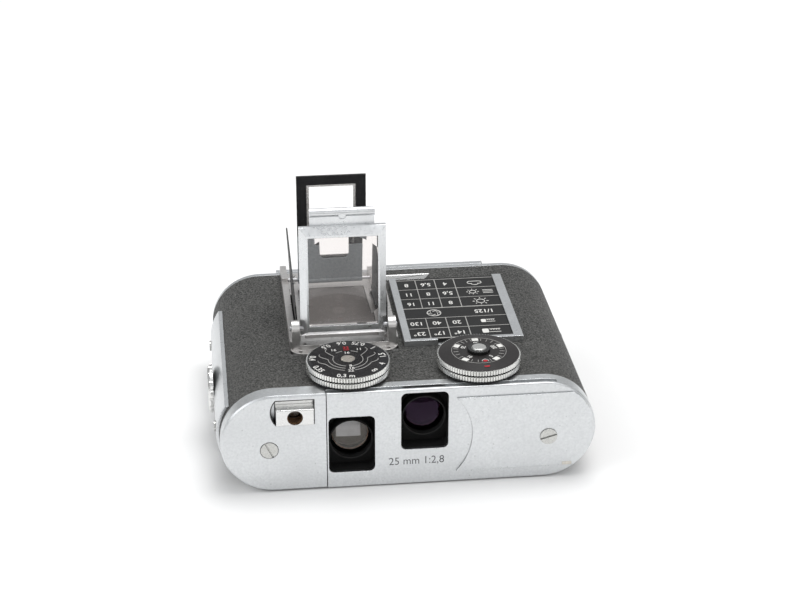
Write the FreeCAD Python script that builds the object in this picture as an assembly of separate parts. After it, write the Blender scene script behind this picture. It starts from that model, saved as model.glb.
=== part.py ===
"""A subminiature twin-lens film camera, lying flat, with its folding finder open.

The body is a stadium-section box: film cassettes lie in its two round ends, and a viewing lens and a
taking lens look out of the front. Each lens has a 45 degree mirror behind it, one turned up to a ground
glass under the folding finder, one turned down to the film. A spring drum winds the film on.

Frame: +Z up, the lenses look along -Y, +X is to the right of somebody who faces the lenses. The origin is
the centre of the base. Millimetres.
"""

import FreeCAD
import Part

import math
import os

V = FreeCAD.Vector

# ---- body -------------------------------------------------------------------------------------------
BODY_WIDTH = 65.0
BODY_HEIGHT = 18.5
FRONT_Y = -24.8  # face of the front panel
REAR_Y = 25.0  # face of the rear cap
COVER_FRONT_Y = -21.6  # where the leather meets the front bezel
COVER_REAR_Y = 23.8  # where the leather meets the rear cap
LEATHER = 0.4
SHELL_WALL = 0.6
SLIP = 0.1  # gap between pieces that are slid together
RUNNING = 0.04  # radial clearance of a shaft in its hole
END_R = BODY_HEIGHT / 2
END_X = BODY_WIDTH / 2 - END_R
MID_Z = BODY_HEIGHT / 2
SHELL_TOP = BODY_HEIGHT - LEATHER
FRAME_INSET = LEATHER + SHELL_WALL + SLIP

# ---- front ------------------------------------------------------------------------------------------
PANEL_THICK = 0.6
SPLIT_X = -14.3  # joint between the release housing and the front panel
GROOVE_Y = 0.9  # width of the groove behind the panel's top edge
GROOVE_DEEP = 0.6
GROOVE_END_X = 25.5
WINDOW_ROUND = 1.0
VIEW_WINDOW = (-14.0, -6.0, 3.0, 13.8)  # x from, x to, z from, z to
TAKE_WINDOW = (-1.5, 6.7, 6.8, 17.8)
LINER_WALL = 0.25
COVER_PLATE_THICK = 0.3
COVER_PLATE_LOW = 2.2
COVER_PLATE_HIGH = 16.5
COVER_ARC_R = 10.6
COVER_ARC_X = 10.9  # how far right the hollow edge of the cover plate reaches
SCREW_X = 24.2
SCREW_Z = 8.1
SCREW_HEAD_R = 1.5
SCREW_HEAD = 0.45
SCREW_SHANK_R = 0.7
SCREW_SLOT = 0.32
SCREW_SHANK = 5.5
LEFT_SCREW_FACE = FRONT_Y - 0.05
RIGHT_SCREW_FACE = FRONT_Y - COVER_PLATE_THICK - 0.2
LEFT_SLOT_ANGLE = -64.0
RIGHT_SLOT_ANGLE = 16.0

# ---- release button ---------------------------------------------------------------------------------
BUTTON_X = -19.7
BUTTON_WIDTH = 6.5
BUTTON_LOW = 13.0
BUTTON_HIGH = 16.1
BUTTON_PROUD = 0.7
BUTTON_TRAVEL = 0.8
BUTTON_DEEP = 3.0
CABLE_SOCKET_R = 1.35
CABLE_SOCKET_DEEP = 2.9
RECESS_TOP = 17.6
SPRING_R = 0.9
SPRING_WIRE = 0.2
SPRING_TURNS = 4

# ---- rear and side ----------------------------------------------------------------------------------
REAR_PLATE_HALF = 20.0
REAR_PLATE_THICK = 1.1
REAR_PLATE_LOW = 9.0
SIDE_PLATE_THICK = 0.6
SIDE_PLATE_ANGLE = 34.0
SIDE_PLATE_Y = (-20.4, 17.0)
APERTURE_WHEEL_R = 4.4
APERTURE_WHEEL_Y = -3.3
APERTURE_WHEEL_THICK = 0.9
APERTURE_AXLE_R = 0.55
SMALL_HEAD_R = 0.95
SMALL_HEAD = 0.3
SMALL_SHANK_R = 0.5
SIDE_SCREW_Y = (-17.2, 13.6)
REAR_SCREW_X = (-16.0, 16.0)
REAR_SCREW_Z = 13.5

# ---- dials ------------------------------------------------------------------------------------------
DIAL_R = 7.3
DIAL_Y = -17.3
FOCUS_X = -9.9
SPEED_X = 12.9
DIAL_BOTTOM = BODY_HEIGHT + 0.55
DIAL_TOP = DIAL_BOTTOM + 1.95
KNURL_TEETH = 90
KNURL_DEEP = 0.25
KNURL_GROOVE = 0.3
FACE_R = 7.02  # the black discs, which hide all but the teeth
SCALE_R = 4.85
SCALE_HIGH = 0.45  # the speed scale above its ring
WELL_DEEP = 0.35
SEAT_R = 6.3
SEAT_FLANGE_R = 7.0  # above the top of the body
SHAFT_R = 1.0
REMINDER_R = 2.0
REMINDER_CAP_R = 1.25
REMINDER_SKIRT = 0.5
REMINDER_HIGH = 0.75

# ---- finder -----------------------------------------------------------------------------------------
FINDER_X = -9.75
TRAY_HALF = 9.6
TRAY_FRONT = -10.0
TRAY_REAR = COVER_REAR_Y
TRAY_FLOOR = BODY_HEIGHT + 0.2
RAIL_TOP = BODY_HEIGHT + 1.9
RAIL_INNER = 8.4
EAR_INNER = 7.85
EAR_OUTER = 9.25
EAR_R = 1.5
LID_AXIS_Y = -7.0
LID_AXIS_Z = BODY_HEIGHT + 3.8
LID_PIN_R = 0.45
LID_HALF = 7.6
LID_LOW = BODY_HEIGHT + 2.25
LID_HIGH = BODY_HEIGHT + 23.0
LID_FRONT = 1.0  # ahead of the axis
LID_BACK = 0.9  # behind the axis
LID_CHAMFER = 1.15
PANE_HALF = 6.1
PANE_LOW = BODY_HEIGHT + 4.45
PANE_HIGH = BODY_HEIGHT + 21.4
PANE_THICK = 1.0
PANE_HOLLOW_R = 60.0
TONGUE_HALF = 5.65
TONGUE_THICK = 0.4
ROLL_R = 0.78
ROLL_Z = BODY_HEIGHT + 25.45
SIGHT_AXIS_Y = 17.6
SIGHT_AXIS_Z = BODY_HEIGHT + 1.7
SIGHT_HALF = 6.45
SIGHT_HIGH = BODY_HEIGHT + 22.7
SIGHT_OPEN_HALF = 4.6
SIGHT_OPEN = (BODY_HEIGHT + 7.9, BODY_HEIGHT + 20.9)
LINER_OPEN_HALF = 4.1
LINER_OPEN = (BODY_HEIGHT + 8.1, BODY_HEIGHT + 20.4)
NOTCH_HALF = 3.3
NOTCH_LOW = BODY_HEIGHT + 7.4
BACK_WALL_HIGH = BODY_HEIGHT + 10.7
FLAP_THICK = 0.25
FLAP_Y = (-4.7, 11.6)
FLAP_HIGH = BODY_HEIGHT + 15.5
FLAP_FRONT_HIGH = BODY_HEIGHT + 7.0
FLAP_AXIS_X = 7.97
FLAP_PIN_R = 0.3
RIGHT_FLAP_Z = BODY_HEIGHT + 0.57
LEFT_FLAP_Z = BODY_HEIGHT + 0.95
LEFT_FLAP_LEAN = 3.0  # degrees outwards, as it stands
SCREEN_HALF = 6.6
SCREEN_Y = (-4.0, 16.4)
SCREEN_THICK = 1.0

# ---- exposure table ---------------------------------------------------------------------------------
SHOE_GAP = 1.05  # between the finder tray and the shoe
SHOE_WIDTH = 21.4
SHOE_X = (FINDER_X + TRAY_HALF + SHOE_GAP, FINDER_X + TRAY_HALF + SHOE_GAP + SHOE_WIDTH)
SHOE_Y = (-8.9, 17.4)
SHOE_TOP = BODY_HEIGHT + 1.15
SHOE_FLOOR = BODY_HEIGHT + 0.2
RAIL_LEFT = 1.0
RAIL_RIGHT = 1.4
LIP = 0.3
LIP_THICK = 0.15
TABLE_THICK = 0.65
STOP_TAB = 6.0

# ---- optics and mechanism ---------------------------------------------------------------------------
VIEW_LENS = (-10.0, 8.6)  # x, z of the axis
TAKE_LENS = (2.6, 12.5)
BARREL_R = 3.8
BARREL_WALL = 0.2
LENS_R = BARREL_R - BARREL_WALL
BARREL_Y = (-23.3, -18.4)
BOARD_Y = (-20.3, -19.3)
FOCUS_TRAVEL = 2.0  # the lenses stand forward by this at the nearest distance
BAFFLE_Y = (-21.4, -20.9)
SHUTTER_Y = (-15.7, -15.1)
BULKHEAD_Y = -14.0  # rear wall of the bay behind the lenses
BAY_ROOF = BODY_HEIGHT - FRAME_INSET - 0.4
BAY_FLOOR = 2.2
BAY_HALF = 27.5
REAR_BAY_Y = 18.0
CHAMBER_R = 7.5
MIRROR_THICK = 1.0
FILM_Z = 1.9
FILM_THICK = 0.15
FILM_Y = (-5.9, 12.1)  # ends of the cassettes
CASSETTE_R = 6.6
SPOOL_R = 2.6
SPOOL_PIN_R = 0.8
SPROCKET = (13.1, 4.25)
DRUM_X = 19.05
DRUM_Y = -17.5
DRUM_R = 3.3
KNOB_R = 3.4
DOOR_HIGH = 3.0
DOOR_FRONT = -13.6
DOOR_WALL = 0.8
DOOR_PIN_Y = 22.7
DOOR_PIN_Z = 1.05
DOOR_KNUCKLE_R = 1.0
DOOR_PIN_R = 0.35
DOOR_BARREL_X = (-12.0, 12.0)
DOOR_LUG_X = (-17.2, 0.0, 17.2)
LATCH_REAR = -11.3
LATCH_TRAVEL = 1.0


# ---- tools ------------------------------------------------------------------------------------------
def box(x0, x1, y0, y1, z0, z1):
    return Part.makeBox(x1 - x0, y1 - y0, z1 - z0, V(x0, y0, z0))


def rod_x(x0, x1, y, z, r):
    return Part.makeCylinder(r, x1 - x0, V(x0, y, z), V(1, 0, 0))


def rod_y(x, y0, y1, z, r):
    return Part.makeCylinder(r, y1 - y0, V(x, y0, z), V(0, 1, 0))


def rod_z(x, y, z0, z1, r):
    return Part.makeCylinder(r, z1 - z0, V(x, y, z0), V(0, 0, 1))


def join(first, *others):
    return first.fuse(list(others)).removeSplitter()


def stadium(inset, y0, y1):
    """The body's section, taken in by inset, from y0 to y1."""
    r = END_R - inset
    middle = box(-END_X, END_X, y0, y1, MID_Z - r, MID_Z + r)
    return join(middle, rod_y(-END_X, y0, y1, MID_Z, r), rod_y(END_X, y0, y1, MID_Z, r))


def window(x0, x1, z0, z1, y0, y1, grow=0.0):
    """A block with round corners, for a lens window, grown all round."""
    block = box(x0 - grow, x1 + grow, y0, y1, z0 - grow, z1 + grow)
    upright = [e for e in block.Edges if abs(e.tangentAt(e.FirstParameter).y) > 0.9]
    return block.makeFillet(WINDOW_ROUND + grow, upright)


def ring_z(x, y, z0, z1, outer, inner):
    return rod_z(x, y, z0, z1, outer).cut(rod_z(x, y, z0 - 1, z1 + 1, inner))


def ring_y(x, y0, y1, z, outer, inner):
    return rod_y(x, y0, y1, z, outer).cut(rod_y(x, y0 - 1, y1 + 1, z, inner))


def toothed(x, y, z0, z1, outer, depth, teeth):
    """A disc on a vertical axis with pointed teeth round its rim."""
    points = []
    for i in range(2 * teeth + 1):
        r = outer if i % 2 == 0 else outer - depth
        a = math.pi * i / teeth
        points.append(V(x + r * math.cos(a), y + r * math.sin(a), z0))
    return Part.Face(Part.makePolygon(points)).extrude(V(0, 0, z1 - z0))


def slotted_screw(place, turn, head_r, head, shank_r, shank, slot_angle):
    """A slotted screw with the middle of its head's face at place; turn 0 faces it along -Y."""
    slot = Part.makeBox(3 * head_r, head, SCREW_SLOT, V(-1.5 * head_r, -head / 2, -SCREW_SLOT / 2))
    slot.rotate(V(0, 0, 0), V(0, 1, 0), -slot_angle)
    screw = join(rod_y(0, 0, head, 0, head_r), rod_y(0, head, head + shank, 0, shank_r)).cut(slot)
    screw.rotate(V(0, 0, 0), V(0, 0, 1), turn)
    screw.translate(V(*place))
    return screw


def tilted_plate(x0, x1, low, high, thick):
    """A mirror between two (y, z) points, thickened away from the side that low to high's left faces."""
    dy, dz = high[0] - low[0], high[1] - low[1]
    n = math.hypot(dy, dz)
    ny, nz = dz / n * thick, -dy / n * thick
    corners = [(low[0], low[1]), (high[0], high[1]), (high[0] + ny, high[1] + nz), (low[0] + ny, low[1] + nz)]
    points = [V(x0, y, z) for y, z in corners + corners[:1]]
    return Part.Face(Part.makePolygon(points)).extrude(V(x1 - x0, 0, 0))


# ---- outer shells -----------------------------------------------------------------------------------
def screw_place(side):
    return side * SCREW_X, SCREW_Z


def door_space(grow):
    """The slice of the lower body that the film door fills, taken out of the shell and the leather."""
    return box(-BODY_WIDTH, BODY_WIDTH, DOOR_FRONT - grow, COVER_REAR_Y + 1, -1, DOOR_HIGH + grow)


def top_holes(grow):
    """What passes through the top of the shell: both dial shafts and the finder's light shaft."""
    x0, x1 = FINDER_X - SCREEN_HALF - grow, FINDER_X + SCREEN_HALF + grow
    light = box(x0, x1, SCREEN_Y[0] - grow, SCREEN_Y[1] + grow, MID_Z, BODY_HEIGHT + 1)
    shafts = [rod_z(x, DIAL_Y, MID_Z, BODY_HEIGHT + 1, SHAFT_R + RUNNING) for x in (FOCUS_X, SPEED_X)]
    return light.fuse(shafts)


def wheel_hole():
    return rod_x(-BODY_WIDTH, -END_X, APERTURE_WHEEL_Y, MID_Z, APERTURE_AXLE_R + RUNNING)


def knob_recess(grow):
    return rod_z(DRUM_X, DRUM_Y, -1, 1.6, KNOB_R + grow)


def make_leather_covering():
    skin = stadium(0, COVER_FRONT_Y, COVER_REAR_Y)
    skin = skin.cut(stadium(LEATHER, COVER_FRONT_Y - 1, COVER_REAR_Y + 1))
    skin = skin.cut(door_space(SLIP))
    skin = skin.cut(box(-END_X, END_X, COVER_FRONT_Y - 1, COVER_REAR_Y + 1, -1, 1))
    tray = box(FINDER_X - TRAY_HALF, FINDER_X + TRAY_HALF, TRAY_FRONT, TRAY_REAR + 1, MID_Z, BODY_HEIGHT + 1)
    shoe = box(SHOE_X[0], SHOE_X[1], SHOE_Y[0], SHOE_Y[1], MID_Z, BODY_HEIGHT + 1)
    seats = [rod_z(x, DIAL_Y, MID_Z, BODY_HEIGHT + 1, SEAT_R) for x in (FOCUS_X, SPEED_X)]
    return skin.cut([tray, shoe, wheel_hole(), *seats])


def make_body_shell():
    tube = stadium(LEATHER, COVER_FRONT_Y, COVER_REAR_Y)
    tube = tube.cut(stadium(LEATHER + SHELL_WALL, COVER_FRONT_Y - 1, COVER_REAR_Y + 1))
    return tube.cut([door_space(SLIP), top_holes(SLIP), knob_recess(SLIP), wheel_hole()])


def make_chassis():
    """The die-cast frame: two cassette chambers, two mirror boxes, and bays behind the lenses and rear cap."""
    block = stadium(FRAME_INSET, COVER_FRONT_Y, COVER_REAR_Y)
    under = -1.0
    chamber_y = (FILM_Y[0] - 0.4, FILM_Y[1] + 0.4)
    cuts = [box(-BAY_HALF, BAY_HALF, COVER_FRONT_Y - 1, BULKHEAD_Y, BAY_FLOOR, BAY_ROOF)]
    cuts.append(box(-BAY_HALF, BAY_HALF, REAR_BAY_Y, COVER_REAR_Y + 1, BAY_FLOOR, BAY_ROOF))
    for x in (-END_X, END_X):
        cuts.append(rod_y(x, *chamber_y, MID_Z, CHAMBER_R))
        cuts.append(box(x - CHAMBER_R, x + CHAMBER_R, *chamber_y, under, MID_Z))
        cuts.append(rod_y(x, chamber_y[0] - 1.2, chamber_y[1] + 1.2, MID_Z, SPOOL_PIN_R + RUNNING))
    light_box = (-4.2, 17.0)
    cuts.append(box(FINDER_X - 6.55, FINDER_X + 6.55, *light_box, 2.6, BODY_HEIGHT))
    cuts.append(box(TAKE_LENS[0] - 6.0, TAKE_LENS[0] + 6.0, *light_box, under, BAY_ROOF))
    for x, z in (VIEW_LENS, TAKE_LENS):
        cuts.append(rod_y(x, BULKHEAD_Y - 1, -4, z, LENS_R + 0.2))
    cuts.append(box(-END_X, END_X, *chamber_y, under, FILM_Z + FILM_THICK + 0.2))
    x, z = SPROCKET
    cuts.append(box(x - 2.9, x + 2.9, *chamber_y, under, z + 2.9))
    cuts += [top_holes(SLIP), knob_recess(SLIP), box(-END_X, END_X, DOOR_FRONT, COVER_REAR_Y + 1, under, BAY_FLOOR)]
    rim = door_space(SLIP).common(stadium(0, DOOR_FRONT - 1, COVER_REAR_Y + 1))
    cuts.append(rim.cut(stadium(FRAME_INSET + 0.4, DOOR_FRONT - 2, COVER_REAR_Y + 2)))
    cuts.append(rod_z(SPEED_X, DIAL_Y, 1.5, BODY_HEIGHT, SHAFT_R + RUNNING))
    cuts.append(rod_z(DRUM_X, DRUM_Y, under, BAY_ROOF, SHAFT_R + RUNNING))
    cuts.append(box(-END_X - 9, -END_X - 6, APERTURE_WHEEL_Y - 1, APERTURE_WHEEL_Y + 1, MID_Z - 1, MID_Z + 1))
    frame = block.cut(cuts)
    posts = [ring_y(x, COVER_FRONT_Y, BULKHEAD_Y, z, 1.7, SCREW_SHANK_R) for x, z in map(screw_place, (-1, 1))]
    return max(join(frame, *posts).Solids, key=lambda solid: solid.Volume)


def make_film_door():
    """The lower slice of the body: it drops open at the rear edge for loading."""
    tray = stadium(0, DOOR_FRONT, COVER_REAR_Y - SLIP)
    tray = tray.cut(stadium(DOOR_WALL, DOOR_FRONT - 1, COVER_REAR_Y + 1))
    tray = tray.common(box(-BODY_WIDTH, BODY_WIDTH, DOOR_FRONT - 1, COVER_REAR_Y, 0, DOOR_HIGH - SLIP))
    barrels = [rod_x(x - 4, x + 4, DOOR_PIN_Y, DOOR_PIN_Z, 0.75) for x in DOOR_BARREL_X]
    cuts = [rod_x(-20, 20, DOOR_PIN_Y, DOOR_PIN_Z, DOOR_PIN_R + RUNNING)]
    cuts += [box(x - 1.1, x + 1.1, DOOR_PIN_Y - 1, COVER_REAR_Y, -1, DOOR_HIGH) for x in DOOR_LUG_X]
    cuts.append(box(-3.1, 3.1, DOOR_FRONT - 1, LATCH_REAR + LATCH_TRAVEL + SLIP, 0.35, 1))
    cuts.append(box(-1.3, 1.3, -13.0, LATCH_REAR, -1, 0.5))
    behind_pin = box(-BODY_WIDTH, BODY_WIDTH, DOOR_PIN_Y, COVER_REAR_Y, -1, DOOR_HIGH)
    cuts.append(behind_pin.cut(rod_x(-BODY_WIDTH, BODY_WIDTH, DOOR_PIN_Y, DOOR_PIN_Z, DOOR_KNUCKLE_R)))
    return join(tray, *barrels).cut(cuts)


def make_door_hinge_pin():
    """The pin, with the three lugs that carry it on the rear cap."""
    pieces = []
    for x in DOOR_LUG_X:
        pieces.append(rod_x(x - 1, x + 1, DOOR_PIN_Y, DOOR_PIN_Z + 0.25, 0.85))
        pieces.append(box(x - 1, x + 1, DOOR_PIN_Y, COVER_REAR_Y, DOOR_PIN_Z, DOOR_PIN_Z + 1))
    return join(rod_x(-17, 17, DOOR_PIN_Y, DOOR_PIN_Z, DOOR_PIN_R), *pieces)


def make_door_latch():
    tongue = box(-2.9, 2.9, DOOR_FRONT + SLIP, LATCH_REAR, 0.45, 0.75)
    return join(tongue, box(-1.2, 1.2, -12.9, -12.5, 0.1, 0.45))


def make_front_bezel():
    bezel = stadium(0, FRONT_Y + PANEL_THICK + GROOVE_Y, COVER_FRONT_Y)
    core = stadium(0, FRONT_Y + PANEL_THICK, FRONT_Y + PANEL_THICK + GROOVE_Y)
    slot = box(SPLIT_X, GROOVE_END_X, FRONT_Y, FRONT_Y + PANEL_THICK + GROOVE_Y, BODY_HEIGHT - GROOVE_DEEP, BODY_HEIGHT + 1)
    bezel = join(bezel, core.cut(slot))
    cuts = [box(-BODY_WIDTH, SPLIT_X, FRONT_Y - 1, COVER_FRONT_Y + 1, -1, BODY_HEIGHT + 1)]
    for hole in (VIEW_WINDOW, TAKE_WINDOW):
        cuts.append(window(*hole, FRONT_Y, COVER_FRONT_Y + 1, LINER_WALL))
    x, z = screw_place(1)
    cuts.append(rod_y(x, FRONT_Y - 1, COVER_FRONT_Y + 1, z, SCREW_SHANK_R))
    return bezel.cut(cuts)


def make_front_panel():
    panel = stadium(0, FRONT_Y, FRONT_Y + PANEL_THICK)
    outer = [e for e in panel.Edges if abs(e.CenterOfMass.y - FRONT_Y) < 0.01]
    panel = panel.makeFillet(0.25, outer)
    cuts = [box(-BODY_WIDTH, SPLIT_X + 0.08, FRONT_Y - 1, COVER_FRONT_Y + 1, -1, BODY_HEIGHT + 1)]
    for hole in (VIEW_WINDOW, TAKE_WINDOW):
        cuts.append(window(*hole, FRONT_Y - 1, COVER_FRONT_Y + 1))
    x, z = screw_place(1)
    cuts.append(rod_y(x, FRONT_Y - 1, COVER_FRONT_Y + 1, z, SCREW_SHANK_R))
    return panel.cut(cuts)


def make_cover_plate():
    """The raised plate at the right of the front, hollow-edged towards the lenses."""
    slab = stadium(0.3, FRONT_Y - COVER_PLATE_THICK, FRONT_Y)
    keep = box(0, BODY_WIDTH, FRONT_Y - 1, FRONT_Y, COVER_PLATE_LOW, COVER_PLATE_HIGH)
    middle = (COVER_PLATE_LOW + COVER_PLATE_HIGH) / 2
    hollow = rod_y(COVER_ARC_X - COVER_ARC_R, FRONT_Y - 1, FRONT_Y + 1, middle, COVER_ARC_R)
    left = box(0, COVER_ARC_X - 5, FRONT_Y - 1, FRONT_Y, -1, BODY_HEIGHT)
    x, z = screw_place(1)
    head = rod_y(x, FRONT_Y - 1, FRONT_Y - COVER_PLATE_THICK + SCREW_HEAD - 0.2, z, SCREW_HEAD_R)
    shank = rod_y(x, FRONT_Y - 1, FRONT_Y + 1, z, SCREW_SHANK_R)
    return slab.common(keep).cut([hollow, left, head, shank])


def make_release_housing():
    """The thick left end of the front, with the recess that the release button slides in."""
    block = stadium(0, FRONT_Y, COVER_FRONT_Y)
    outer = [e for e in block.Edges if abs(e.CenterOfMass.y - FRONT_Y) < 0.01]
    block = block.makeChamfer(0.3, outer)
    x0, x1 = BUTTON_X - BUTTON_WIDTH / 2, BUTTON_X + BUTTON_WIDTH / 2
    recess = box(x0 - SLIP, x1 + SLIP, FRONT_Y - 1, COVER_FRONT_Y + 1, BUTTON_LOW - SLIP, RECESS_TOP)
    round_r = 3.6
    bulge = rod_y(x0 + 2.7, FRONT_Y - 1, FRONT_Y + 1.6, (BUTTON_LOW + RECESS_TOP) / 2, round_r)
    bulge = bulge.common(box(x0 - 3, x0, FRONT_Y - 2, COVER_FRONT_Y, BUTTON_LOW, RECESS_TOP))
    x, z = screw_place(-1)
    head = rod_y(x, FRONT_Y - 1, FRONT_Y + SCREW_HEAD, z, SCREW_HEAD_R + SLIP)
    shank = rod_y(x, FRONT_Y - 1, COVER_FRONT_Y + 1, z, SCREW_SHANK_R)
    right = box(SPLIT_X - 0.08, BODY_WIDTH, FRONT_Y - 1, COVER_FRONT_Y + 1, -1, BODY_HEIGHT + 1)
    return block.cut([recess, bulge, head, shank, right])


def make_front_screws():
    screws = []
    for side, face, slot in ((-1, LEFT_SCREW_FACE, LEFT_SLOT_ANGLE), (1, RIGHT_SCREW_FACE, RIGHT_SLOT_ANGLE)):
        x, z = screw_place(side)
        screws.append(slotted_screw((x, face, z), 0, SCREW_HEAD_R, SCREW_HEAD, SCREW_SHANK_R, SCREW_SHANK, slot))
    return Part.makeCompound(screws)


def make_release_button():
    x0, x1 = BUTTON_X - BUTTON_WIDTH / 2, BUTTON_X + BUTTON_WIDTH / 2
    front = FRONT_Y - BUTTON_PROUD
    block = box(x0, x1, front, front + BUTTON_DEEP, BUTTON_LOW, BUTTON_HIGH)
    edges = [e for e in block.Edges if abs(e.CenterOfMass.y - front) < 0.01]
    block = block.makeFillet(0.25, edges)
    flange = box(x0, x1, front + BUTTON_DEEP - 0.7, front + BUTTON_DEEP, BUTTON_LOW, RECESS_TOP - SLIP)
    socket_z = (BUTTON_LOW + BUTTON_HIGH) / 2
    stem = rod_y(BUTTON_X, front + BUTTON_DEEP, front + BUTTON_DEEP + 2.2, socket_z, 0.6)
    socket = rod_y(BUTTON_X, front - 1, front + CABLE_SOCKET_DEEP - 0.3, socket_z, CABLE_SOCKET_R)
    return join(block, flange, stem).cut(socket)


def make_release_spring():
    """A coil round the button's stem, as a stack of rings joined by one side bar."""
    y0 = FRONT_Y - BUTTON_PROUD + BUTTON_DEEP + BUTTON_TRAVEL + 0.1
    z = (BUTTON_LOW + BUTTON_HIGH) / 2
    pitch = 2.6 / SPRING_TURNS
    outer, inner = SPRING_R + SPRING_WIRE, SPRING_R - SPRING_WIRE
    starts = [y0 + i * pitch for i in range(SPRING_TURNS)]
    rings = [ring_y(BUTTON_X, y, y + 2 * SPRING_WIRE, z, outer, inner) for y in starts]
    x = BUTTON_X + SPRING_R
    bar = box(x - SPRING_WIRE / 2, x + SPRING_WIRE / 2, starts[0], starts[-1] + SPRING_WIRE, z - 0.1, z + 0.1)
    return join(*rings, bar)


def make_window_liners():
    tubes = []
    for hole in (VIEW_WINDOW, TAKE_WINDOW):
        outer = window(*hole, FRONT_Y + PANEL_THICK, COVER_FRONT_Y, LINER_WALL - 0.01)
        tubes.append(outer.cut(window(*hole, FRONT_Y, COVER_FRONT_Y + 1)))
    return Part.makeCompound(tubes)


def make_rear_cap():
    cap = stadium(0, COVER_REAR_Y, REAR_Y)
    outer = [e for e in cap.Edges if abs(e.CenterOfMass.y - REAR_Y) < 0.01]
    return cap.makeFillet(0.3, outer)


def make_rear_plate():
    plate = box(-REAR_PLATE_HALF, REAR_PLATE_HALF, REAR_Y, REAR_Y + REAR_PLATE_THICK, REAR_PLATE_LOW, BODY_HEIGHT)
    upright = [e for e in plate.Edges if abs(e.tangentAt(e.FirstParameter).y) > 0.9 and e.CenterOfMass.z < MID_Z + 1]
    plate = plate.makeFillet(2.0, upright)
    rear = REAR_Y + REAR_PLATE_THICK
    holes = []
    for x in REAR_SCREW_X:
        holes.append(rod_y(x, REAR_Y - 1, rear + 1, REAR_SCREW_Z, SMALL_SHANK_R))
        holes.append(rod_y(x, rear - SMALL_HEAD, rear + 1, REAR_SCREW_Z, SMALL_HEAD_R + SLIP))
    return plate.cut(holes)


def make_side_plate():
    """A thin plate bent round the left end of the body."""
    r = END_R + SIDE_PLATE_THICK
    ring = ring_y(-END_X, SIDE_PLATE_Y[0], SIDE_PLATE_Y[1], MID_Z, r, END_R + 0.02)
    reach = r * math.sin(math.radians(SIDE_PLATE_ANGLE))
    plate = ring.common(box(-BODY_WIDTH, -END_X, -40, 40, MID_Z - reach, MID_Z + reach))
    screw_holes = [rod_x(-BODY_WIDTH, -END_X, y, MID_Z, SMALL_SHANK_R) for y in SIDE_SCREW_Y]
    return plate.cut([wheel_hole(), *screw_holes])


def make_small_screws():
    """Four small screws: two hold the rear plate and two the side plate."""
    shape = (SMALL_HEAD_R, SMALL_HEAD, SMALL_SHANK_R, SIDE_PLATE_THICK)
    rear = REAR_Y + REAR_PLATE_THICK
    side = -END_X - END_R - SIDE_PLATE_THICK - SMALL_HEAD
    screws = [slotted_screw((x, rear, REAR_SCREW_Z), 180, *shape, 20) for x in REAR_SCREW_X]
    screws += [slotted_screw((side, y, MID_Z), -90, *shape, 35) for y in SIDE_SCREW_Y]
    return Part.makeCompound(screws)


def make_aperture_wheel():
    x = -END_X - END_R - SIDE_PLATE_THICK - 0.1
    disc = rod_x(x - APERTURE_WHEEL_THICK, x, APERTURE_WHEEL_Y, MID_Z, APERTURE_WHEEL_R)
    rim = [e for e in disc.Edges if abs(e.CenterOfMass.x - x + APERTURE_WHEEL_THICK) < 0.01]
    disc = disc.makeChamfer(0.4, rim)
    axle = rod_x(x, -END_X - 6.6, APERTURE_WHEEL_Y, MID_Z, APERTURE_AXLE_R)
    y = APERTURE_WHEEL_Y
    notches = []
    for i in range(16):
        a = 2 * math.pi * i / 16
        notches.append(rod_x(x - 2, x + 1, y + (APERTURE_WHEEL_R + 0.15) * math.cos(a), MID_Z + (APERTURE_WHEEL_R + 0.15) * math.sin(a), 0.35))
    return join(disc.cut(notches), axle)


# ---- dials ------------------------------------------------------------------------------------------
def knurled_ring(x):
    """Two rows of teeth with a groove between, hollow for the scale."""
    middle = (DIAL_BOTTOM + DIAL_TOP) / 2
    low = toothed(x, DIAL_Y, DIAL_BOTTOM, middle - KNURL_GROOVE / 2, DIAL_R, KNURL_DEEP, KNURL_TEETH)
    high = toothed(x, DIAL_Y, middle + KNURL_GROOVE / 2, DIAL_TOP, DIAL_R, KNURL_DEEP, KNURL_TEETH)
    core = rod_z(x, DIAL_Y, DIAL_BOTTOM, DIAL_TOP, DIAL_R - 0.5)
    ring = join(core, low, high)
    well = rod_z(x, DIAL_Y, DIAL_TOP - WELL_DEEP, DIAL_TOP + 1, FACE_R)
    return ring.cut([well, rod_z(x, DIAL_Y, DIAL_BOTTOM - 1, DIAL_TOP, SHAFT_R)])


def make_focus_ring():
    return knurled_ring(FOCUS_X)


def make_focus_scale():
    return rod_z(FOCUS_X, DIAL_Y, DIAL_TOP - WELL_DEEP, DIAL_TOP + 0.05, FACE_R)


def make_focus_screw():
    head = rod_z(FOCUS_X, DIAL_Y, DIAL_TOP + 0.05, DIAL_TOP + 0.2, 1.2)
    slot = box(FOCUS_X - 2, FOCUS_X + 2, DIAL_Y - 0.12, DIAL_Y + 0.12, DIAL_TOP + 0.1, DIAL_TOP + 1)
    slot.rotate(V(FOCUS_X, DIAL_Y, 0), V(0, 0, 1), 25)
    return head.cut(slot)


def make_focus_shaft():
    """The shaft under the focus dial, with the cam that drives the lens board."""
    cam = rod_z(FOCUS_X + 0.4, DIAL_Y + 0.3, 15.9, 16.5, 2.2)
    return join(rod_z(FOCUS_X, DIAL_Y, 15.3, DIAL_TOP - WELL_DEEP, SHAFT_R), cam)


def make_speed_ring():
    return knurled_ring(SPEED_X)


def make_speed_scale():
    """The speed dial's disc: a flat scale with a sloping band round it."""
    disc = rod_z(SPEED_X, DIAL_Y, DIAL_TOP - WELL_DEEP, DIAL_TOP + 0.05, FACE_R)
    slope = Part.makeCone(FACE_R - 0.15, SCALE_R, SCALE_HIGH - 0.05, V(SPEED_X, DIAL_Y, DIAL_TOP + 0.05), V(0, 0, 1))
    return join(disc, slope)


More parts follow.
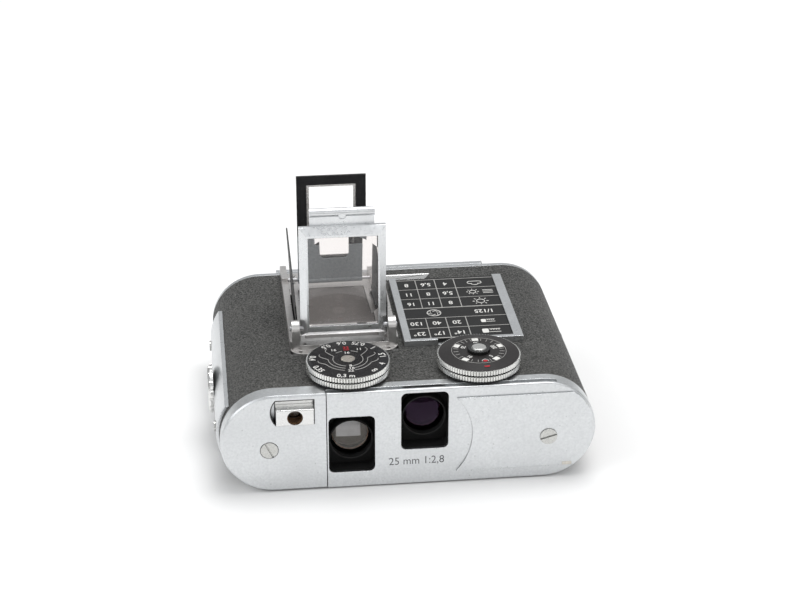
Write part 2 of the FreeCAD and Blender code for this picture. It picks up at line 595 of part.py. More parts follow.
def make_speed_shaft():
    """The shaft under the speed dial, with the stepped cam of the shutter's timing train."""
    cams = [rod_z(SPEED_X, DIAL_Y, z, z + 0.8, r) for z, r in ((12.2, 2.6), (13.0, 2.1))]
    return join(rod_z(SPEED_X, DIAL_Y, 4.0, DIAL_TOP - WELL_DEEP, SHAFT_R), *cams)


def make_reminder_knob():
    """The little film-speed reminder in the middle of the speed dial: knurled skirt, domed cap."""
    z0 = DIAL_TOP + SCALE_HIGH + SLIP / 2
    skirt = toothed(SPEED_X, DIAL_Y, z0, z0 + REMINDER_SKIRT, REMINDER_R, 0.16, 24)
    cap = rod_z(SPEED_X, DIAL_Y, z0, z0 + REMINDER_HIGH, REMINDER_CAP_R)
    rim = [e for e in cap.Edges if abs(e.CenterOfMass.z - z0 - REMINDER_HIGH) < 0.01]
    return join(skirt, cap.makeFillet(0.2, rim))


def make_dial_seats():
    """Flat rings under the dials; their front edges lie on the metal front, the rest on the shell."""
    front = box(-BODY_WIDTH, BODY_WIDTH, FRONT_Y, COVER_FRONT_Y, 0, BODY_HEIGHT)
    seats = []
    for x in (FOCUS_X, SPEED_X):
        ring = ring_z(x, DIAL_Y, SHELL_TOP, DIAL_BOTTOM - SLIP, SEAT_R, SHAFT_R + RUNNING)
        flange = ring_z(x, DIAL_Y, BODY_HEIGHT + SLIP, DIAL_BOTTOM - SLIP, SEAT_FLANGE_R, SEAT_R - 0.5)
        seats.append(join(ring.cut(front), flange))
    return Part.makeCompound(seats)


# ---- finder -----------------------------------------------------------------------------------------
def make_finder_tray():
    """Base plate, two side rails, the lid's ears, the lugs of the flaps and the front sill."""
    x0, x1 = FINDER_X - TRAY_HALF, FINDER_X + TRAY_HALF
    base = box(x0, x1, TRAY_FRONT, TRAY_REAR, SHELL_TOP, TRAY_FLOOR)
    corners = [e for e in base.Edges if abs(e.tangentAt(e.FirstParameter).z) > 0.9 and e.CenterOfMass.y < 0]
    base = base.makeFillet(2.4, corners)
    pieces = []
    cuts = [box(FINDER_X - SCREEN_HALF, FINDER_X + SCREEN_HALF, SCREEN_Y[0], SCREEN_Y[1], SHELL_TOP - 1, TRAY_FLOOR + 1)]
    pin_hole = rod_x(x0 - 1, x1 + 1, SIGHT_AXIS_Y, SIGHT_AXIS_Z, 0.4 + RUNNING)
    lid_hole = rod_x(x0 - 1, x1 + 1, LID_AXIS_Y, LID_AXIS_Z, LID_PIN_R + RUNNING)
    for side in (-1, 1):
        a, b = sorted((FINDER_X + side * RAIL_INNER, FINDER_X + side * TRAY_HALF))
        top = SIGHT_AXIS_Z + 0.9
        rail = join(box(a, b, -8.2, TRAY_REAR, SHELL_TOP, RAIL_TOP), box(a, b, SIGHT_AXIS_Y - 0.9, SIGHT_AXIS_Y + 0.9, SHELL_TOP, top))
        pieces.append(rail)
        a, b = sorted((FINDER_X + side * EAR_INNER, FINDER_X + side * EAR_OUTER))
        ear = join(box(a, b, LID_AXIS_Y - EAR_R, LID_AXIS_Y + EAR_R, SHELL_TOP, LID_AXIS_Z), rod_x(a, b, LID_AXIS_Y, LID_AXIS_Z, EAR_R))
        pieces.append(ear)
        axis_z = LEFT_FLAP_Z if side < 0 else RIGHT_FLAP_Z
        axis_x = FINDER_X + side * FLAP_AXIS_X
        a, b = sorted((FINDER_X + side * 7.5, FINDER_X + side * RAIL_INNER))
        for y in (FLAP_Y[0] - 0.8, FLAP_Y[1] + 0.1):
            pieces.append(box(a, b, y, y + 0.7, SHELL_TOP, axis_z + 0.6))
        cuts.append(rod_y(axis_x, FLAP_Y[0] - 0.5, FLAP_Y[1] + 0.6, axis_z, FLAP_PIN_R + RUNNING))
    sill = box(FINDER_X - EAR_INNER, FINDER_X + EAR_INNER, LID_AXIS_Y - EAR_R, LID_AXIS_Y + 0.2, SHELL_TOP, TRAY_FLOOR + 0.9)
    for s in (-1, 1):
        cuts.append(rod_z(FINDER_X + s * 7.0, LID_AXIS_Y - 0.9, TRAY_FLOOR, TRAY_FLOOR + 2, 0.32))
        cuts.append(rod_z(FINDER_X + s * 7.8, TRAY_FRONT + 0.85, SHELL_TOP + 0.2, TRAY_FLOOR + 1, 0.35))
    return join(base, sill, *pieces).cut([pin_hole, lid_hole, *cuts])


def make_ground_glass():
    x0, x1 = FINDER_X - SCREEN_HALF + SLIP, FINDER_X + SCREEN_HALF - SLIP
    return box(x0, x1, SCREEN_Y[0] + SLIP, SCREEN_Y[1] - SLIP, TRAY_FLOOR - 0.1 - SCREEN_THICK, TRAY_FLOOR - 0.1)


def lid_faces():
    return LID_AXIS_Y - LID_FRONT, LID_AXIS_Y + LID_BACK


def make_lid_frame():
    """The finder's front frame, which is also its lid when folded: bevelled outside, hollow behind."""
    y0, y1 = lid_faces()
    frame = box(FINDER_X - LID_HALF, FINDER_X + LID_HALF, y0, y1, LID_LOW, LID_HIGH)
    front = [e for e in frame.Edges if abs(e.CenterOfMass.y - y0) < 0.01]
    frame = frame.makeChamfer(LID_CHAMFER, front)
    opening = box(FINDER_X - PANE_HALF, FINDER_X + PANE_HALF, y0 - 1, y1 + 1, PANE_LOW, PANE_HIGH)
    rebate = box(FINDER_X - PANE_HALF - 0.4, FINDER_X + PANE_HALF + 0.4, y0 + 0.35, y1 + 1, PANE_LOW - 0.4, PANE_HIGH + 0.4)
    pin = rod_x(FINDER_X - 10, FINDER_X + 10, LID_AXIS_Y, LID_AXIS_Z, LID_PIN_R)
    return frame.cut([opening, rebate, pin])


def make_lid_glass():
    """The finder's front lens: flat in front, hollow behind."""
    y0 = lid_faces()[0] + 0.35
    pane = box(FINDER_X - PANE_HALF - 0.38, FINDER_X + PANE_HALF + 0.38, y0, y0 + PANE_THICK, PANE_LOW - 0.05, PANE_HIGH + 0.38)
    middle = (PANE_LOW + PANE_HIGH) / 2
    return pane.cut(Part.makeSphere(PANE_HOLLOW_R, V(FINDER_X, y0 + 0.4 + PANE_HOLLOW_R, middle)))


def make_lid_tongue():
    """The springy strip behind the lid's top edge, rolled at its end, with its rivet."""
    y0 = lid_faces()[1]
    strip = box(FINDER_X - TONGUE_HALF, FINDER_X + TONGUE_HALF, y0, y0 + TONGUE_THICK, PANE_HIGH + 0.45, ROLL_Z)
    roll = rod_x(FINDER_X - TONGUE_HALF, FINDER_X + TONGUE_HALF, y0 - 0.15, ROLL_Z, ROLL_R)
    rivet = rod_y(FINDER_X, y0 - 0.95, y0 - 0.15, ROLL_Z - 0.45, 0.7)
    rivet = rivet.makeFillet(0.3, [e for e in rivet.Edges if abs(e.CenterOfMass.y - y0 + 0.95) < 0.01])
    return join(strip, roll, rivet)


def make_lid_hinge_pin():
    return rod_x(FINDER_X - EAR_OUTER - 0.25, FINDER_X + EAR_OUTER + 0.25, LID_AXIS_Y, LID_AXIS_Z, LID_PIN_R)


def pierced_plate(half, low, high, y0, y1, open_half, opening):
    plate = box(FINDER_X - half, FINDER_X + half, y0, y1, low, high)
    hole = box(FINDER_X - open_half, FINDER_X + open_half, y0 - 1, y1 + 1, opening[0], opening[1])
    low_corners = [e for e in hole.Edges if abs(e.tangentAt(e.FirstParameter).y) > 0.9 and e.CenterOfMass.z < opening[0] + 0.1]
    return plate.cut(hole.makeFillet(1.2, low_corners))


def make_sight_frame():
    low = SIGHT_AXIS_Z + 0.8
    return pierced_plate(SIGHT_HALF, low, SIGHT_HIGH, SIGHT_AXIS_Y - 0.2, SIGHT_AXIS_Y + 0.2, SIGHT_OPEN_HALF, SIGHT_OPEN)


def make_sight_liner():
    low = SIGHT_AXIS_Z + 0.8
    return pierced_plate(SIGHT_HALF - 0.4, low, SIGHT_HIGH - 0.4, SIGHT_AXIS_Y + 0.2, SIGHT_AXIS_Y + 0.5, LINER_OPEN_HALF, LINER_OPEN)


def make_back_wall():
    """The grey wall in front of the sight frame, rolled round the rear hinge pin."""
    y0, y1 = SIGHT_AXIS_Y - 0.5, SIGHT_AXIS_Y - 0.2
    wall = box(FINDER_X - SIGHT_HALF, FINDER_X + SIGHT_HALF, y0, y1, SIGHT_AXIS_Z, BACK_WALL_HIGH)
    hole = box(FINDER_X - NOTCH_HALF, FINDER_X + NOTCH_HALF, y0 - 1, y1 + 1, NOTCH_LOW, BACK_WALL_HIGH + 1)
    along = [e for e in hole.Edges if abs(e.tangentAt(e.FirstParameter).y) > 0.9]
    wall = wall.cut(hole.makeFillet(1.2, [e for e in along if e.CenterOfMass.z < NOTCH_LOW + 0.1]))
    barrel = rod_x(FINDER_X - SIGHT_HALF, FINDER_X + SIGHT_HALF, SIGHT_AXIS_Y, SIGHT_AXIS_Z, 0.72)
    return join(wall, barrel).cut(rod_x(FINDER_X - 9, FINDER_X + 9, SIGHT_AXIS_Y, SIGHT_AXIS_Z, 0.4))


def make_rear_hinge_pin():
    return rod_x(FINDER_X - TRAY_HALF, FINDER_X + TRAY_HALF, SIGHT_AXIS_Y, SIGHT_AXIS_Z, 0.4)


def flap(side, axis_z, lean):
    """A side wall of the finder, standing up from its pin, lower in front than at the rear."""
    x = FINDER_X + side * FLAP_AXIS_X
    y0, y1 = FLAP_Y
    outline = [(y0, axis_z), (y0, FLAP_FRONT_HIGH), (y1 - 0.8, FLAP_HIGH), (y1, FLAP_HIGH - 0.6), (y1, axis_z)]
    points = [V(x - FLAP_THICK / 2, y, z) for y, z in outline + outline[:1]]
    plate = Part.Face(Part.makePolygon(points)).extrude(V(FLAP_THICK, 0, 0))
    wing = join(plate, rod_y(x, y0 - 0.45, y1 + 0.55, axis_z, FLAP_PIN_R))
    wing.rotate(V(x, 0, axis_z), V(0, 1, 0), side * lean)
    return wing


def make_left_flap():
    return flap(-1, LEFT_FLAP_Z, LEFT_FLAP_LEAN)


def make_right_flap():
    return flap(1, RIGHT_FLAP_Z, 0.0)


# ---- exposure table ---------------------------------------------------------------------------------
def make_table_shoe():
    """The slide-in shoe: a floor, two lipped rails and two stop tabs at the front."""
    x0, x1 = SHOE_X
    y0, y1 = SHOE_Y
    floor = box(x0, x1, y0, y1, SHELL_TOP, SHOE_FLOOR)
    pieces = [
        box(x0, x0 + RAIL_LEFT, y0, y1, SHELL_TOP, SHOE_TOP),
        box(x0, x0 + RAIL_LEFT + LIP, y0, y1, SHOE_TOP - LIP_THICK, SHOE_TOP),
        box(x1 - RAIL_RIGHT, x1, y0, y1, SHELL_TOP, SHOE_TOP),
        box(x1 - RAIL_RIGHT - LIP, x1, y0, y1, SHOE_TOP - LIP_THICK, SHOE_TOP),
        box(x0, x0 + STOP_TAB, y0, y0 + 0.8, SHELL_TOP, SHOE_TOP),
        box(x1 - STOP_TAB, x1, y0, y0 + 0.8, SHELL_TOP, SHOE_TOP),
    ]
    return join(floor, *pieces)


def make_exposure_table():
    x0, x1 = SHOE_X[0] + RAIL_LEFT + SLIP, SHOE_X[1] - RAIL_RIGHT - SLIP
    z0 = SHOE_FLOOR + 0.05
    return box(x0, x1, SHOE_Y[0] + 0.9, SHOE_Y[1] - 0.1, z0, z0 + TABLE_THICK)


# ---- optics -----------------------------------------------------------------------------------------
def make_lens_board():
    board = box(-15, 8, *BOARD_Y, 3.2, 15.2)
    board = join(board, rod_y(TAKE_LENS[0], *BOARD_Y, TAKE_LENS[1], 3.95))
    return board.cut([rod_y(x, -30, 0, z, BARREL_R - 0.6) for x, z in (VIEW_LENS, TAKE_LENS)])


def lens_barrel(x, z):
    front = ring_y(x, BARREL_Y[0], BOARD_Y[0], z, BARREL_R, LENS_R)
    rear = ring_y(x, BOARD_Y[0], BARREL_Y[1], z, BARREL_R - 0.6, LENS_R - 0.7)
    return join(front, rear)


def lens_glass(x, z):
    """One thick element, domed in front."""
    body = rod_y(x, BARREL_Y[0] + 0.4, BOARD_Y[0], z, LENS_R)
    dome_r = 9.0
    return body.common(Part.makeSphere(dome_r, V(x, BARREL_Y[0] + 0.4 + dome_r, z)))


def make_lens_barrels():
    return Part.makeCompound([lens_barrel(*lens) for lens in (VIEW_LENS, TAKE_LENS)])


def make_viewing_lens_glass():
    return lens_glass(*VIEW_LENS)


def make_taking_lens_glass():
    return lens_glass(*TAKE_LENS)


def make_light_baffle():
    plate = box(-14.9, 9.0, *BAFFLE_Y, 2.6, BAY_ROOF - SLIP)
    left = box(SPLIT_X - 2, SPLIT_X, -30, 0, 0, 20)
    return plate.cut([left, *[rod_y(x, -30, 0, z, BARREL_R + 0.2) for x, z in (VIEW_LENS, TAKE_LENS)]])


def make_shutter_plate():
    plate = box(-3.0, 10.6, *SHUTTER_Y, 3.0, 16.3)
    return plate.cut([rod_y(TAKE_LENS[0], -20, 0, TAKE_LENS[1], 2.4), rod_y(9.0, -20, 0, 6.0, 0.55)])


def make_shutter_blade():
    """A sector that swings clear of the taking lens about a pin low on the right."""
    y0, y1 = SHUTTER_Y[1] + 0.1, SHUTTER_Y[1] + 0.3
    leaf = rod_y(TAKE_LENS[0], y0, y1, TAKE_LENS[1], 2.7)
    arm = Part.Face(Part.makePolygon([V(x, y0, z) for x, z in ((9.6, 5.6), (8.4, 6.4), (1.2, 11.2), (4.6, 12.8), (9.6, 5.6))]))
    hub = rod_y(9.0, SHUTTER_Y[0] + 0.1, y1, 6.0, 0.5)
    return join(leaf, arm.extrude(V(0, y1 - y0, 0)), rod_y(9.0, y0, y1, 6.0, 1.0), hub)


def make_viewing_mirror():
    return tilted_plate(FINDER_X - 6.2, FINDER_X + 6.2, (-2.2, 3.4), (10.8, 16.4), MIRROR_THICK)


def make_taking_mirror():
    return tilted_plate(TAKE_LENS[0] - 5.8, TAKE_LENS[0] + 5.8, (-3.2, 16.2), (9.4, 3.6), -MIRROR_THICK)


# ---- film and drive ---------------------------------------------------------------------------------
def cassette(side):
    x = side * END_X
    can = ring_y(x, FILM_Y[0], FILM_Y[1], MID_Z, CASSETTE_R, CASSETTE_R - 0.4)
    ends = [ring_y(x, y, y + 0.4, MID_Z, CASSETTE_R, SPOOL_R + 0.15) for y in (FILM_Y[0], FILM_Y[1] - 0.4)]
    mouth = box(x - 0.4, x + 0.4, FILM_Y[0] + 0.4, FILM_Y[1] - 0.4, 0, MID_Z - CASSETTE_R + 1)
    return join(can, *ends).cut(mouth)


def spool(side):
    """A film spool with two flanges and a solid pin at each end, which the frame carries."""
    x = side * END_X
    core = rod_y(x, FILM_Y[0] + 0.1, FILM_Y[1] - 0.1, MID_Z, SPOOL_R)
    pins = rod_y(x, FILM_Y[0] - 1.5, FILM_Y[1] + 1.5, MID_Z, SPOOL_PIN_R)
    flanges = [rod_y(x, y, y + 0.4, MID_Z, CASSETTE_R - 0.6) for y in (FILM_Y[0] + 0.6, FILM_Y[1] - 1.0)]
    return join(core, pins, *flanges)


def make_film_cassettes():
    return Part.makeCompound([cassette(side) for side in (-1, 1)])


def make_supply_spool():
    return spool(-1)


def make_takeup_spool():
    return spool(1)


def make_film_strip():
    """Film from one cassette mouth to the other, flat over the gate."""
    y0, y1 = FILM_Y[0] + 1.0, FILM_Y[1] - 1.0
    half = FILM_THICK / 2
    flat = box(-END_X - half, END_X + half, y0, y1, FILM_Z, FILM_Z + FILM_THICK)
    tails = [box(x - half, x + half, y0, y1, FILM_Z, MID_Z - CASSETTE_R + 0.3) for x in (-END_X, END_X)]
    return join(flat, *tails)


def make_sprocket():
    x, z = SPROCKET
    wheels = [rod_y(x, y, y + 1.0, z, 2.0) for y in (FILM_Y[0] + 1.5, FILM_Y[1] - 2.5)]
    return join(rod_y(x, FILM_Y[0] - 0.2, FILM_Y[1] + 0.2, z, 0.7), *wheels)


def make_pressure_plate():
    return box(-10, 10, FILM_Y[0] + 1, FILM_Y[1] - 1, DOOR_WALL, FILM_Z - 0.1)


def make_mainspring_drum():
    drum = ring_z(DRUM_X, DRUM_Y, 2.4, 11.6, DRUM_R, DRUM_R - 0.4)
    floor = ring_z(DRUM_X, DRUM_Y, 2.4, 2.9, DRUM_R, SHAFT_R + RUNNING)
    gear = toothed(DRUM_X, DRUM_Y, 11.6, 12.6, DRUM_R, 0.35, 22).cut(rod_z(DRUM_X, DRUM_Y, 10, 14, SHAFT_R + RUNNING))
    return join(drum, floor, gear)


def make_mainspring():
    """A flat spiral, wound between the arbor and the drum's wall."""
    turns, steps, thick = 4, 24, 0.14
    inner, outer = SHAFT_R + 0.12, DRUM_R - 0.5
    sides = ([], [])
    for i in range(turns * steps + 1):
        a = 2 * math.pi * i / steps
        r = inner + (outer - inner - thick) * i / (turns * steps)
        for side, radius in zip(sides, (r, r + thick)):
            side.append(V(DRUM_X + radius * math.cos(a), DRUM_Y + radius * math.sin(a), 3.2))
    outline = sides[0] + sides[1][::-1] + sides[0][:1]
    return Part.Face(Part.makePolygon(outline)).extrude(V(0, 0, 8))


def make_winding_knob():
    """The winding knob, flush in the base, with the arbor of the mainspring."""
    knob = toothed(DRUM_X, DRUM_Y, 0.1, 1.4, KNOB_R - 0.05, 0.2, 36)
    grip = box(DRUM_X - 0.45, DRUM_X + 0.45, DRUM_Y - 2.6, DRUM_Y + 2.6, 0.5, 1.4)
    hollow = rod_z(DRUM_X, DRUM_Y, 0, 0.9, 2.8)
    return join(knob.cut(hollow), grip, rod_z(DRUM_X, DRUM_Y, 0.9, 14.5, SHAFT_R))


def main():
    os.makedirs("parts", exist_ok=True)
    makers = {name[5:]: make for name, make in globals().items() if name.startswith("make_")}
    for node, make in makers.items():
        shape = make()
        if not shape.isValid() or not shape.Solids:
            raise RuntimeError(f"{node} is not a valid solid")
        shape.exportStep(f"parts/{node}.step")
    print(len(makers), "nodes")


main()
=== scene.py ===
"""The looks of a subminiature twin-lens film camera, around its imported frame."""

import math

import bpy
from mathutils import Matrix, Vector


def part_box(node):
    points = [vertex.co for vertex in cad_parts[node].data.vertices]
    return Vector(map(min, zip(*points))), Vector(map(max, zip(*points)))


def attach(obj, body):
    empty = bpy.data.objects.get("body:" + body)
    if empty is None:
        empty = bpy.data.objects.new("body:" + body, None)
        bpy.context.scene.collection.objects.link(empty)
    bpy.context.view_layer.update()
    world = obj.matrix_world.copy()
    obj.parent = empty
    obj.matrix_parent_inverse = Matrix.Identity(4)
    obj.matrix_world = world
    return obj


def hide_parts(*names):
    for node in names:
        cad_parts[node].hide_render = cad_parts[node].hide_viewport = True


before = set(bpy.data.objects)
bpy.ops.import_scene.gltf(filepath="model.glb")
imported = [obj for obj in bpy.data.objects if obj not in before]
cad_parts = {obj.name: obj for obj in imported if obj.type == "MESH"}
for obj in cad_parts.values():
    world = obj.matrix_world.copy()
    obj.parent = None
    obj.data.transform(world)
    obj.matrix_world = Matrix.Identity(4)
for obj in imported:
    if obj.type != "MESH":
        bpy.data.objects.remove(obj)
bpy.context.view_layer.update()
MM = 0.001

# ---- places taken from the frame --------------------------------------------------------------------


def middle(node):
    """The middle of a node's box."""
    low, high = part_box(node)
    return (low + high) / 2


FOCUS = middle("focus_scale")
FOCUS.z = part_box("focus_scale")[1].z
SPEED = middle("speed_scale")
SPEED.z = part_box("speed_scale")[1].z
PANEL_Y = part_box("front_panel")[0].y
TABLE_LOW, TABLE_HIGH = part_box("exposure_table")
LEATHER_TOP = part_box("leather_covering")[1].z
ENGRAVED = 0.012 * MM  # how far a filled line stands out of its surface
LINE = 0.055 * MM  # half the width of a thin engraved line

# ---- shader node groups -----------------------------------------------------------------------------


def new_group(name, inputs, outputs):
    """An empty node group with float inputs {name: value} and outputs {name: socket type}."""
    group = bpy.data.node_groups.new(name, "ShaderNodeTree")
    for label, value in inputs.items():
        socket = group.interface.new_socket(label, in_out="INPUT", socket_type="NodeSocketFloat")
        socket.default_value = value
    for label, kind in outputs.items():
        group.interface.new_socket(label, in_out="OUTPUT", socket_type="NodeSocket" + kind)
    return group, group.nodes.new("NodeGroupInput"), group.nodes.new("NodeGroupOutput")


def add(tree, kind, values=(), **settings):
    """A new node with its settings, and its inputs set from (name, value) pairs."""
    node = tree.nodes.new("ShaderNode" + kind)
    for key, value in settings.items():
        setattr(node, key, value)
    for key, value in dict(values).items():
        node.inputs[key].default_value = value
    return node


def ramp(tree, source, low, high):
    """The value of source, spread from 0 at low to 1 at high."""
    node = add(tree, "MapRange", {"From Min": low, "From Max": high})
    tree.links.new(source, node.inputs["Value"])
    return node.outputs["Result"]


def maths(tree, operation, first, second):
    """One sum of two values, each a number or a socket."""
    node = add(tree, "Math", operation=operation)
    for i, value in enumerate((first, second)):
        if isinstance(value, (int, float)):
            node.inputs[i].default_value = value
        else:
            tree.links.new(value, node.inputs[i])
    return node.outputs[0]


def noise(tree, scale, detail=2.0, roughness=0.5, stretch=None):
    """Noise on the piece's own coordinates; scale is a number or a socket, stretch squeezes the pattern."""
    node = add(tree, "TexNoise", {"Detail": detail, "Roughness": roughness})
    place = add(tree, "TexCoord").outputs["Object"]
    if stretch:
        mapping = add(tree, "Mapping", {"Scale": stretch})
        tree.links.new(place, mapping.inputs["Vector"])
        place = mapping.outputs["Vector"]
    tree.links.new(place, node.inputs["Vector"])
    if isinstance(scale, (int, float)):
        node.inputs["Scale"].default_value = scale
    else:
        tree.links.new(scale, node.inputs["Scale"])
    return node.outputs["Fac"]


def make_worn_edges():
    """Where edges are rubbed: Edge is 1 on a sharp edge, Rounded is the normal with that edge eased."""
    group, inputs, outputs = new_group("worn_edges", {"Radius": 0.0001, "Breakup": 900.0},
                                       {"Edge": "Float", "Rounded": "Vector"})
    link = group.links.new
    bevel = add(group, "Bevel", samples=6)
    link(inputs.outputs["Radius"], bevel.inputs["Radius"])
    flat = add(group, "NewGeometry").outputs["Normal"]
    dot = add(group, "VectorMath", operation="DOT_PRODUCT")
    link(bevel.outputs["Normal"], dot.inputs[0])
    link(flat, dot.inputs[1])
    turned = ramp(group, dot.outputs["Value"], 0.995, 0.85)
    broken = ramp(group, noise(group, inputs.outputs["Breakup"], 3.0), 0.35, 0.6)
    link(maths(group, "MULTIPLY", turned, broken), outputs.inputs["Edge"])
    link(bevel.outputs["Normal"], outputs.inputs["Rounded"])
    return group


def make_handling():
    """Marks of use: Smudge is soft and wide, Scratch is fine and long, Speck is small dust."""
    scales = {"Smudge Scale": 120.0, "Scratch Scale": 260.0, "Speck Scale": 700.0}
    group, inputs, outputs = new_group("handling", scales,
                                       {"Smudge": "Float", "Scratch": "Float", "Speck": "Float"})
    link = group.links.new
    link(ramp(group, noise(group, inputs.outputs["Smudge Scale"], 3.0), 0.4, 0.75), outputs.inputs["Smudge"])
    lines = []
    for stretch in ((14.0, 1.0, 1.6), (1.2, 1.0, 13.0)):
        thin = noise(group, inputs.outputs["Scratch Scale"], 1.0, 0.5, stretch)
        band = maths(group, "ABSOLUTE", maths(group, "SUBTRACT", thin, 0.5), 0.0)
        lines.append(ramp(group, band, 0.006, 0.0))
    patch = ramp(group, noise(group, inputs.outputs["Smudge Scale"], 2.0), 0.5, 0.62)
    both = maths(group, "MAXIMUM", *lines)
    link(maths(group, "MULTIPLY", both, patch), outputs.inputs["Scratch"])
    cells = add(group, "TexVoronoi", feature="F1")
    link(add(group, "TexCoord").outputs["Object"], cells.inputs["Vector"])
    link(inputs.outputs["Speck Scale"], cells.inputs["Scale"])
    link(ramp(group, cells.outputs["Distance"], 0.1, 0.05), outputs.inputs["Speck"])
    return group


def make_frosting():
    """The fine, even grain of a satin plated or painted surface, as a height."""
    group, inputs, outputs = new_group("frosting", {"Grain Scale": 9000.0},
                                       {"Height": "Float", "Tone": "Float"})
    link = group.links.new
    link(noise(group, inputs.outputs["Grain Scale"], 4.0, 0.7), outputs.inputs["Height"])
    half = maths(group, "MULTIPLY", inputs.outputs["Grain Scale"], 0.35)
    link(ramp(group, noise(group, half, 3.0), 0.3, 0.7), outputs.inputs["Tone"])
    return group


def make_pebbles():
    """The grain of pressed leathercloth: rounded pebbles, with the creases between them as a mask."""
    group, inputs, outputs = new_group("pebbles", {"Pebble Scale": 3400.0},
                                       {"Height": "Float", "Crease": "Float", "Fleck": "Float"})
    link = group.links.new
    place = add(group, "TexCoord").outputs["Object"]
    wobble = add(group, "TexNoise", {"Scale": 1500.0, "Detail": 2.0})
    link(place, wobble.inputs["Vector"])
    shift = add(group, "VectorMath", operation="MULTIPLY_ADD")
    link(wobble.outputs["Color"], shift.inputs[0])
    shift.inputs[1].default_value = (0.0005, 0.0005, 0.0005)
    link(place, shift.inputs[2])
    cells = add(group, "TexVoronoi", {"Smoothness": 0.35}, feature="SMOOTH_F1")
    link(shift.outputs["Vector"], cells.inputs["Vector"])
    link(inputs.outputs["Pebble Scale"], cells.inputs["Scale"])
    mound = ramp(group, cells.outputs["Distance"], 0.75, 0.05)
    fine = noise(group, maths(group, "MULTIPLY", inputs.outputs["Pebble Scale"], 3.0), 3.0)
    link(maths(group, "ADD", mound, maths(group, "MULTIPLY", fine, 0.3)), outputs.inputs["Height"])
    link(ramp(group, cells.outputs["Distance"], 0.35, 0.7), outputs.inputs["Crease"])
    patch = noise(group, maths(group, "MULTIPLY", inputs.outputs["Pebble Scale"], 0.8), 3.0)
    link(ramp(group, patch, 0.52, 0.68), outputs.inputs["Fleck"])
    return group


def make_painted_crevice_shade():
    """Painted shade in seams and corners, found by ambient occlusion: Painted Shade is 1 deep in a corner.
    """
    group, inputs, outputs = new_group("painted_crevice_shade", {"Reach": 0.0005}, {"Painted Shade": "Float"})
    # painted shade: ambient occlusion makes corners and seams into a mask that darkens the colour
    hollow = add(group, "AmbientOcclusion", samples=16)
    group.links.new(inputs.outputs["Reach"], hollow.inputs["Distance"])
    group.links.new(ramp(group, hollow.outputs["AO"], 0.75, 0.1), outputs.inputs["Painted Shade"])
    return group


WORN_EDGES = make_worn_edges()
PAINTED_CREVICE_SHADE = make_painted_crevice_shade()
HANDLING = make_handling()
FROSTING = make_frosting()
PEBBLES = make_pebbles()

# ---- materials --------------------------------------------------------------------------------------


def place_group(tree, group, **values):
    """A node group in a material, with its inputs set; gives its outputs."""
    node = tree.nodes.new("ShaderNodeGroup")
    node.node_tree = group
    for key, value in values.items():
        node.inputs[key.replace("_", " ")].default_value = value
    return node.outputs


def new_material(name, **sockets):
    """A material with a Principled shader; sockets are its constant values."""
    made = bpy.data.materials.new(name)
    made.use_nodes = True
    shader = made.node_tree.nodes["Principled BSDF"]
    for key, value in sockets.items():
        shader.inputs[key.replace("_", " ")].default_value = value
    return made, made.node_tree, shader


def mixed(tree, factor, first, second):
    """A colour between two colours, each a value or a socket."""
    node = add(tree, "Mix", data_type="RGBA")
    for key, value in (("A", first), ("B", second)):
        socket = next(s for s in node.inputs if s.name == key and s.type == "RGBA")
        if isinstance(value, tuple):
            socket.default_value = (*value, 1.0)
        else:
            tree.links.new(value, socket)
    tree.links.new(factor, node.inputs["Factor"])
    return next(s for s in node.outputs if s.type == "RGBA")


def bumped(tree, shader, height, distance, strength, normal=None):
    """Gives the shader a bump of a height, on top of another normal if there is one."""
    bump = add(tree, "Bump", {"Distance": distance, "Strength": strength})
    tree.links.new(height, bump.inputs["Height"])
    if normal:
        tree.links.new(normal, bump.inputs["Normal"])
    tree.links.new(bump.outputs["Normal"], shader.inputs["Normal"])


def plated(name, colour, shade, rough, grain, edge=0.00012, crevice_shade_strength=0.85):
    """Plated or bare metal: fine grain, darker patches, brighter rubbed edges, scratches, specks, and
    painted shade in its seams and corners.

    shade colours the darker patches, edge is the width that rubbing brightens, crevice_shade_strength how
    dark the painted shade in corners gets.
    """
    made, tree, shader = new_material(name, Metallic=1.0)
    worn = place_group(tree, WORN_EDGES, Radius=edge)
    marks = place_group(tree, HANDLING)
    frost = place_group(tree, FROSTING, Grain_Scale=grain)
    base = mixed(tree, frost["Tone"], shade, colour)
    base = mixed(tree, maths(tree, "MULTIPLY", marks["Smudge"], 0.35), base, tuple(c * 0.86 for c in colour))
    base = mixed(tree, worn["Edge"], base, tuple(min(1.0, c * 1.12) for c in colour))
    base = mixed(tree, maths(tree, "MULTIPLY", marks["Speck"], 0.5), base, tuple(c * 0.45 for c in colour))
    # painted shade: corners and seams darkened towards a sixth of the colour
    crevice_shade = place_group(tree, PAINTED_CREVICE_SHADE)["Painted Shade"]
    base = mixed(tree, maths(tree, "MULTIPLY", crevice_shade, crevice_shade_strength), base, tuple(c * 0.16 for c in colour))
    tree.links.new(base, shader.inputs["Base Color"])
    level = maths(tree, "ADD", maths(tree, "MULTIPLY", frost["Tone"], 0.08), rough)
    level = maths(tree, "ADD", level, maths(tree, "MULTIPLY", marks["Smudge"], 0.1))
    level = maths(tree, "SUBTRACT", level, maths(tree, "MULTIPLY", worn["Edge"], rough * 0.5))
    level = maths(tree, "SUBTRACT", level, maths(tree, "MULTIPLY", marks["Scratch"], rough * 0.4))
    tree.links.new(level, shader.inputs["Roughness"])
    height = maths(tree, "SUBTRACT", frost["Height"], maths(tree, "MULTIPLY", marks["Scratch"], 0.8))
    bumped(tree, shader, height, 0.000012, 0.35, worn["Rounded"])
    return made


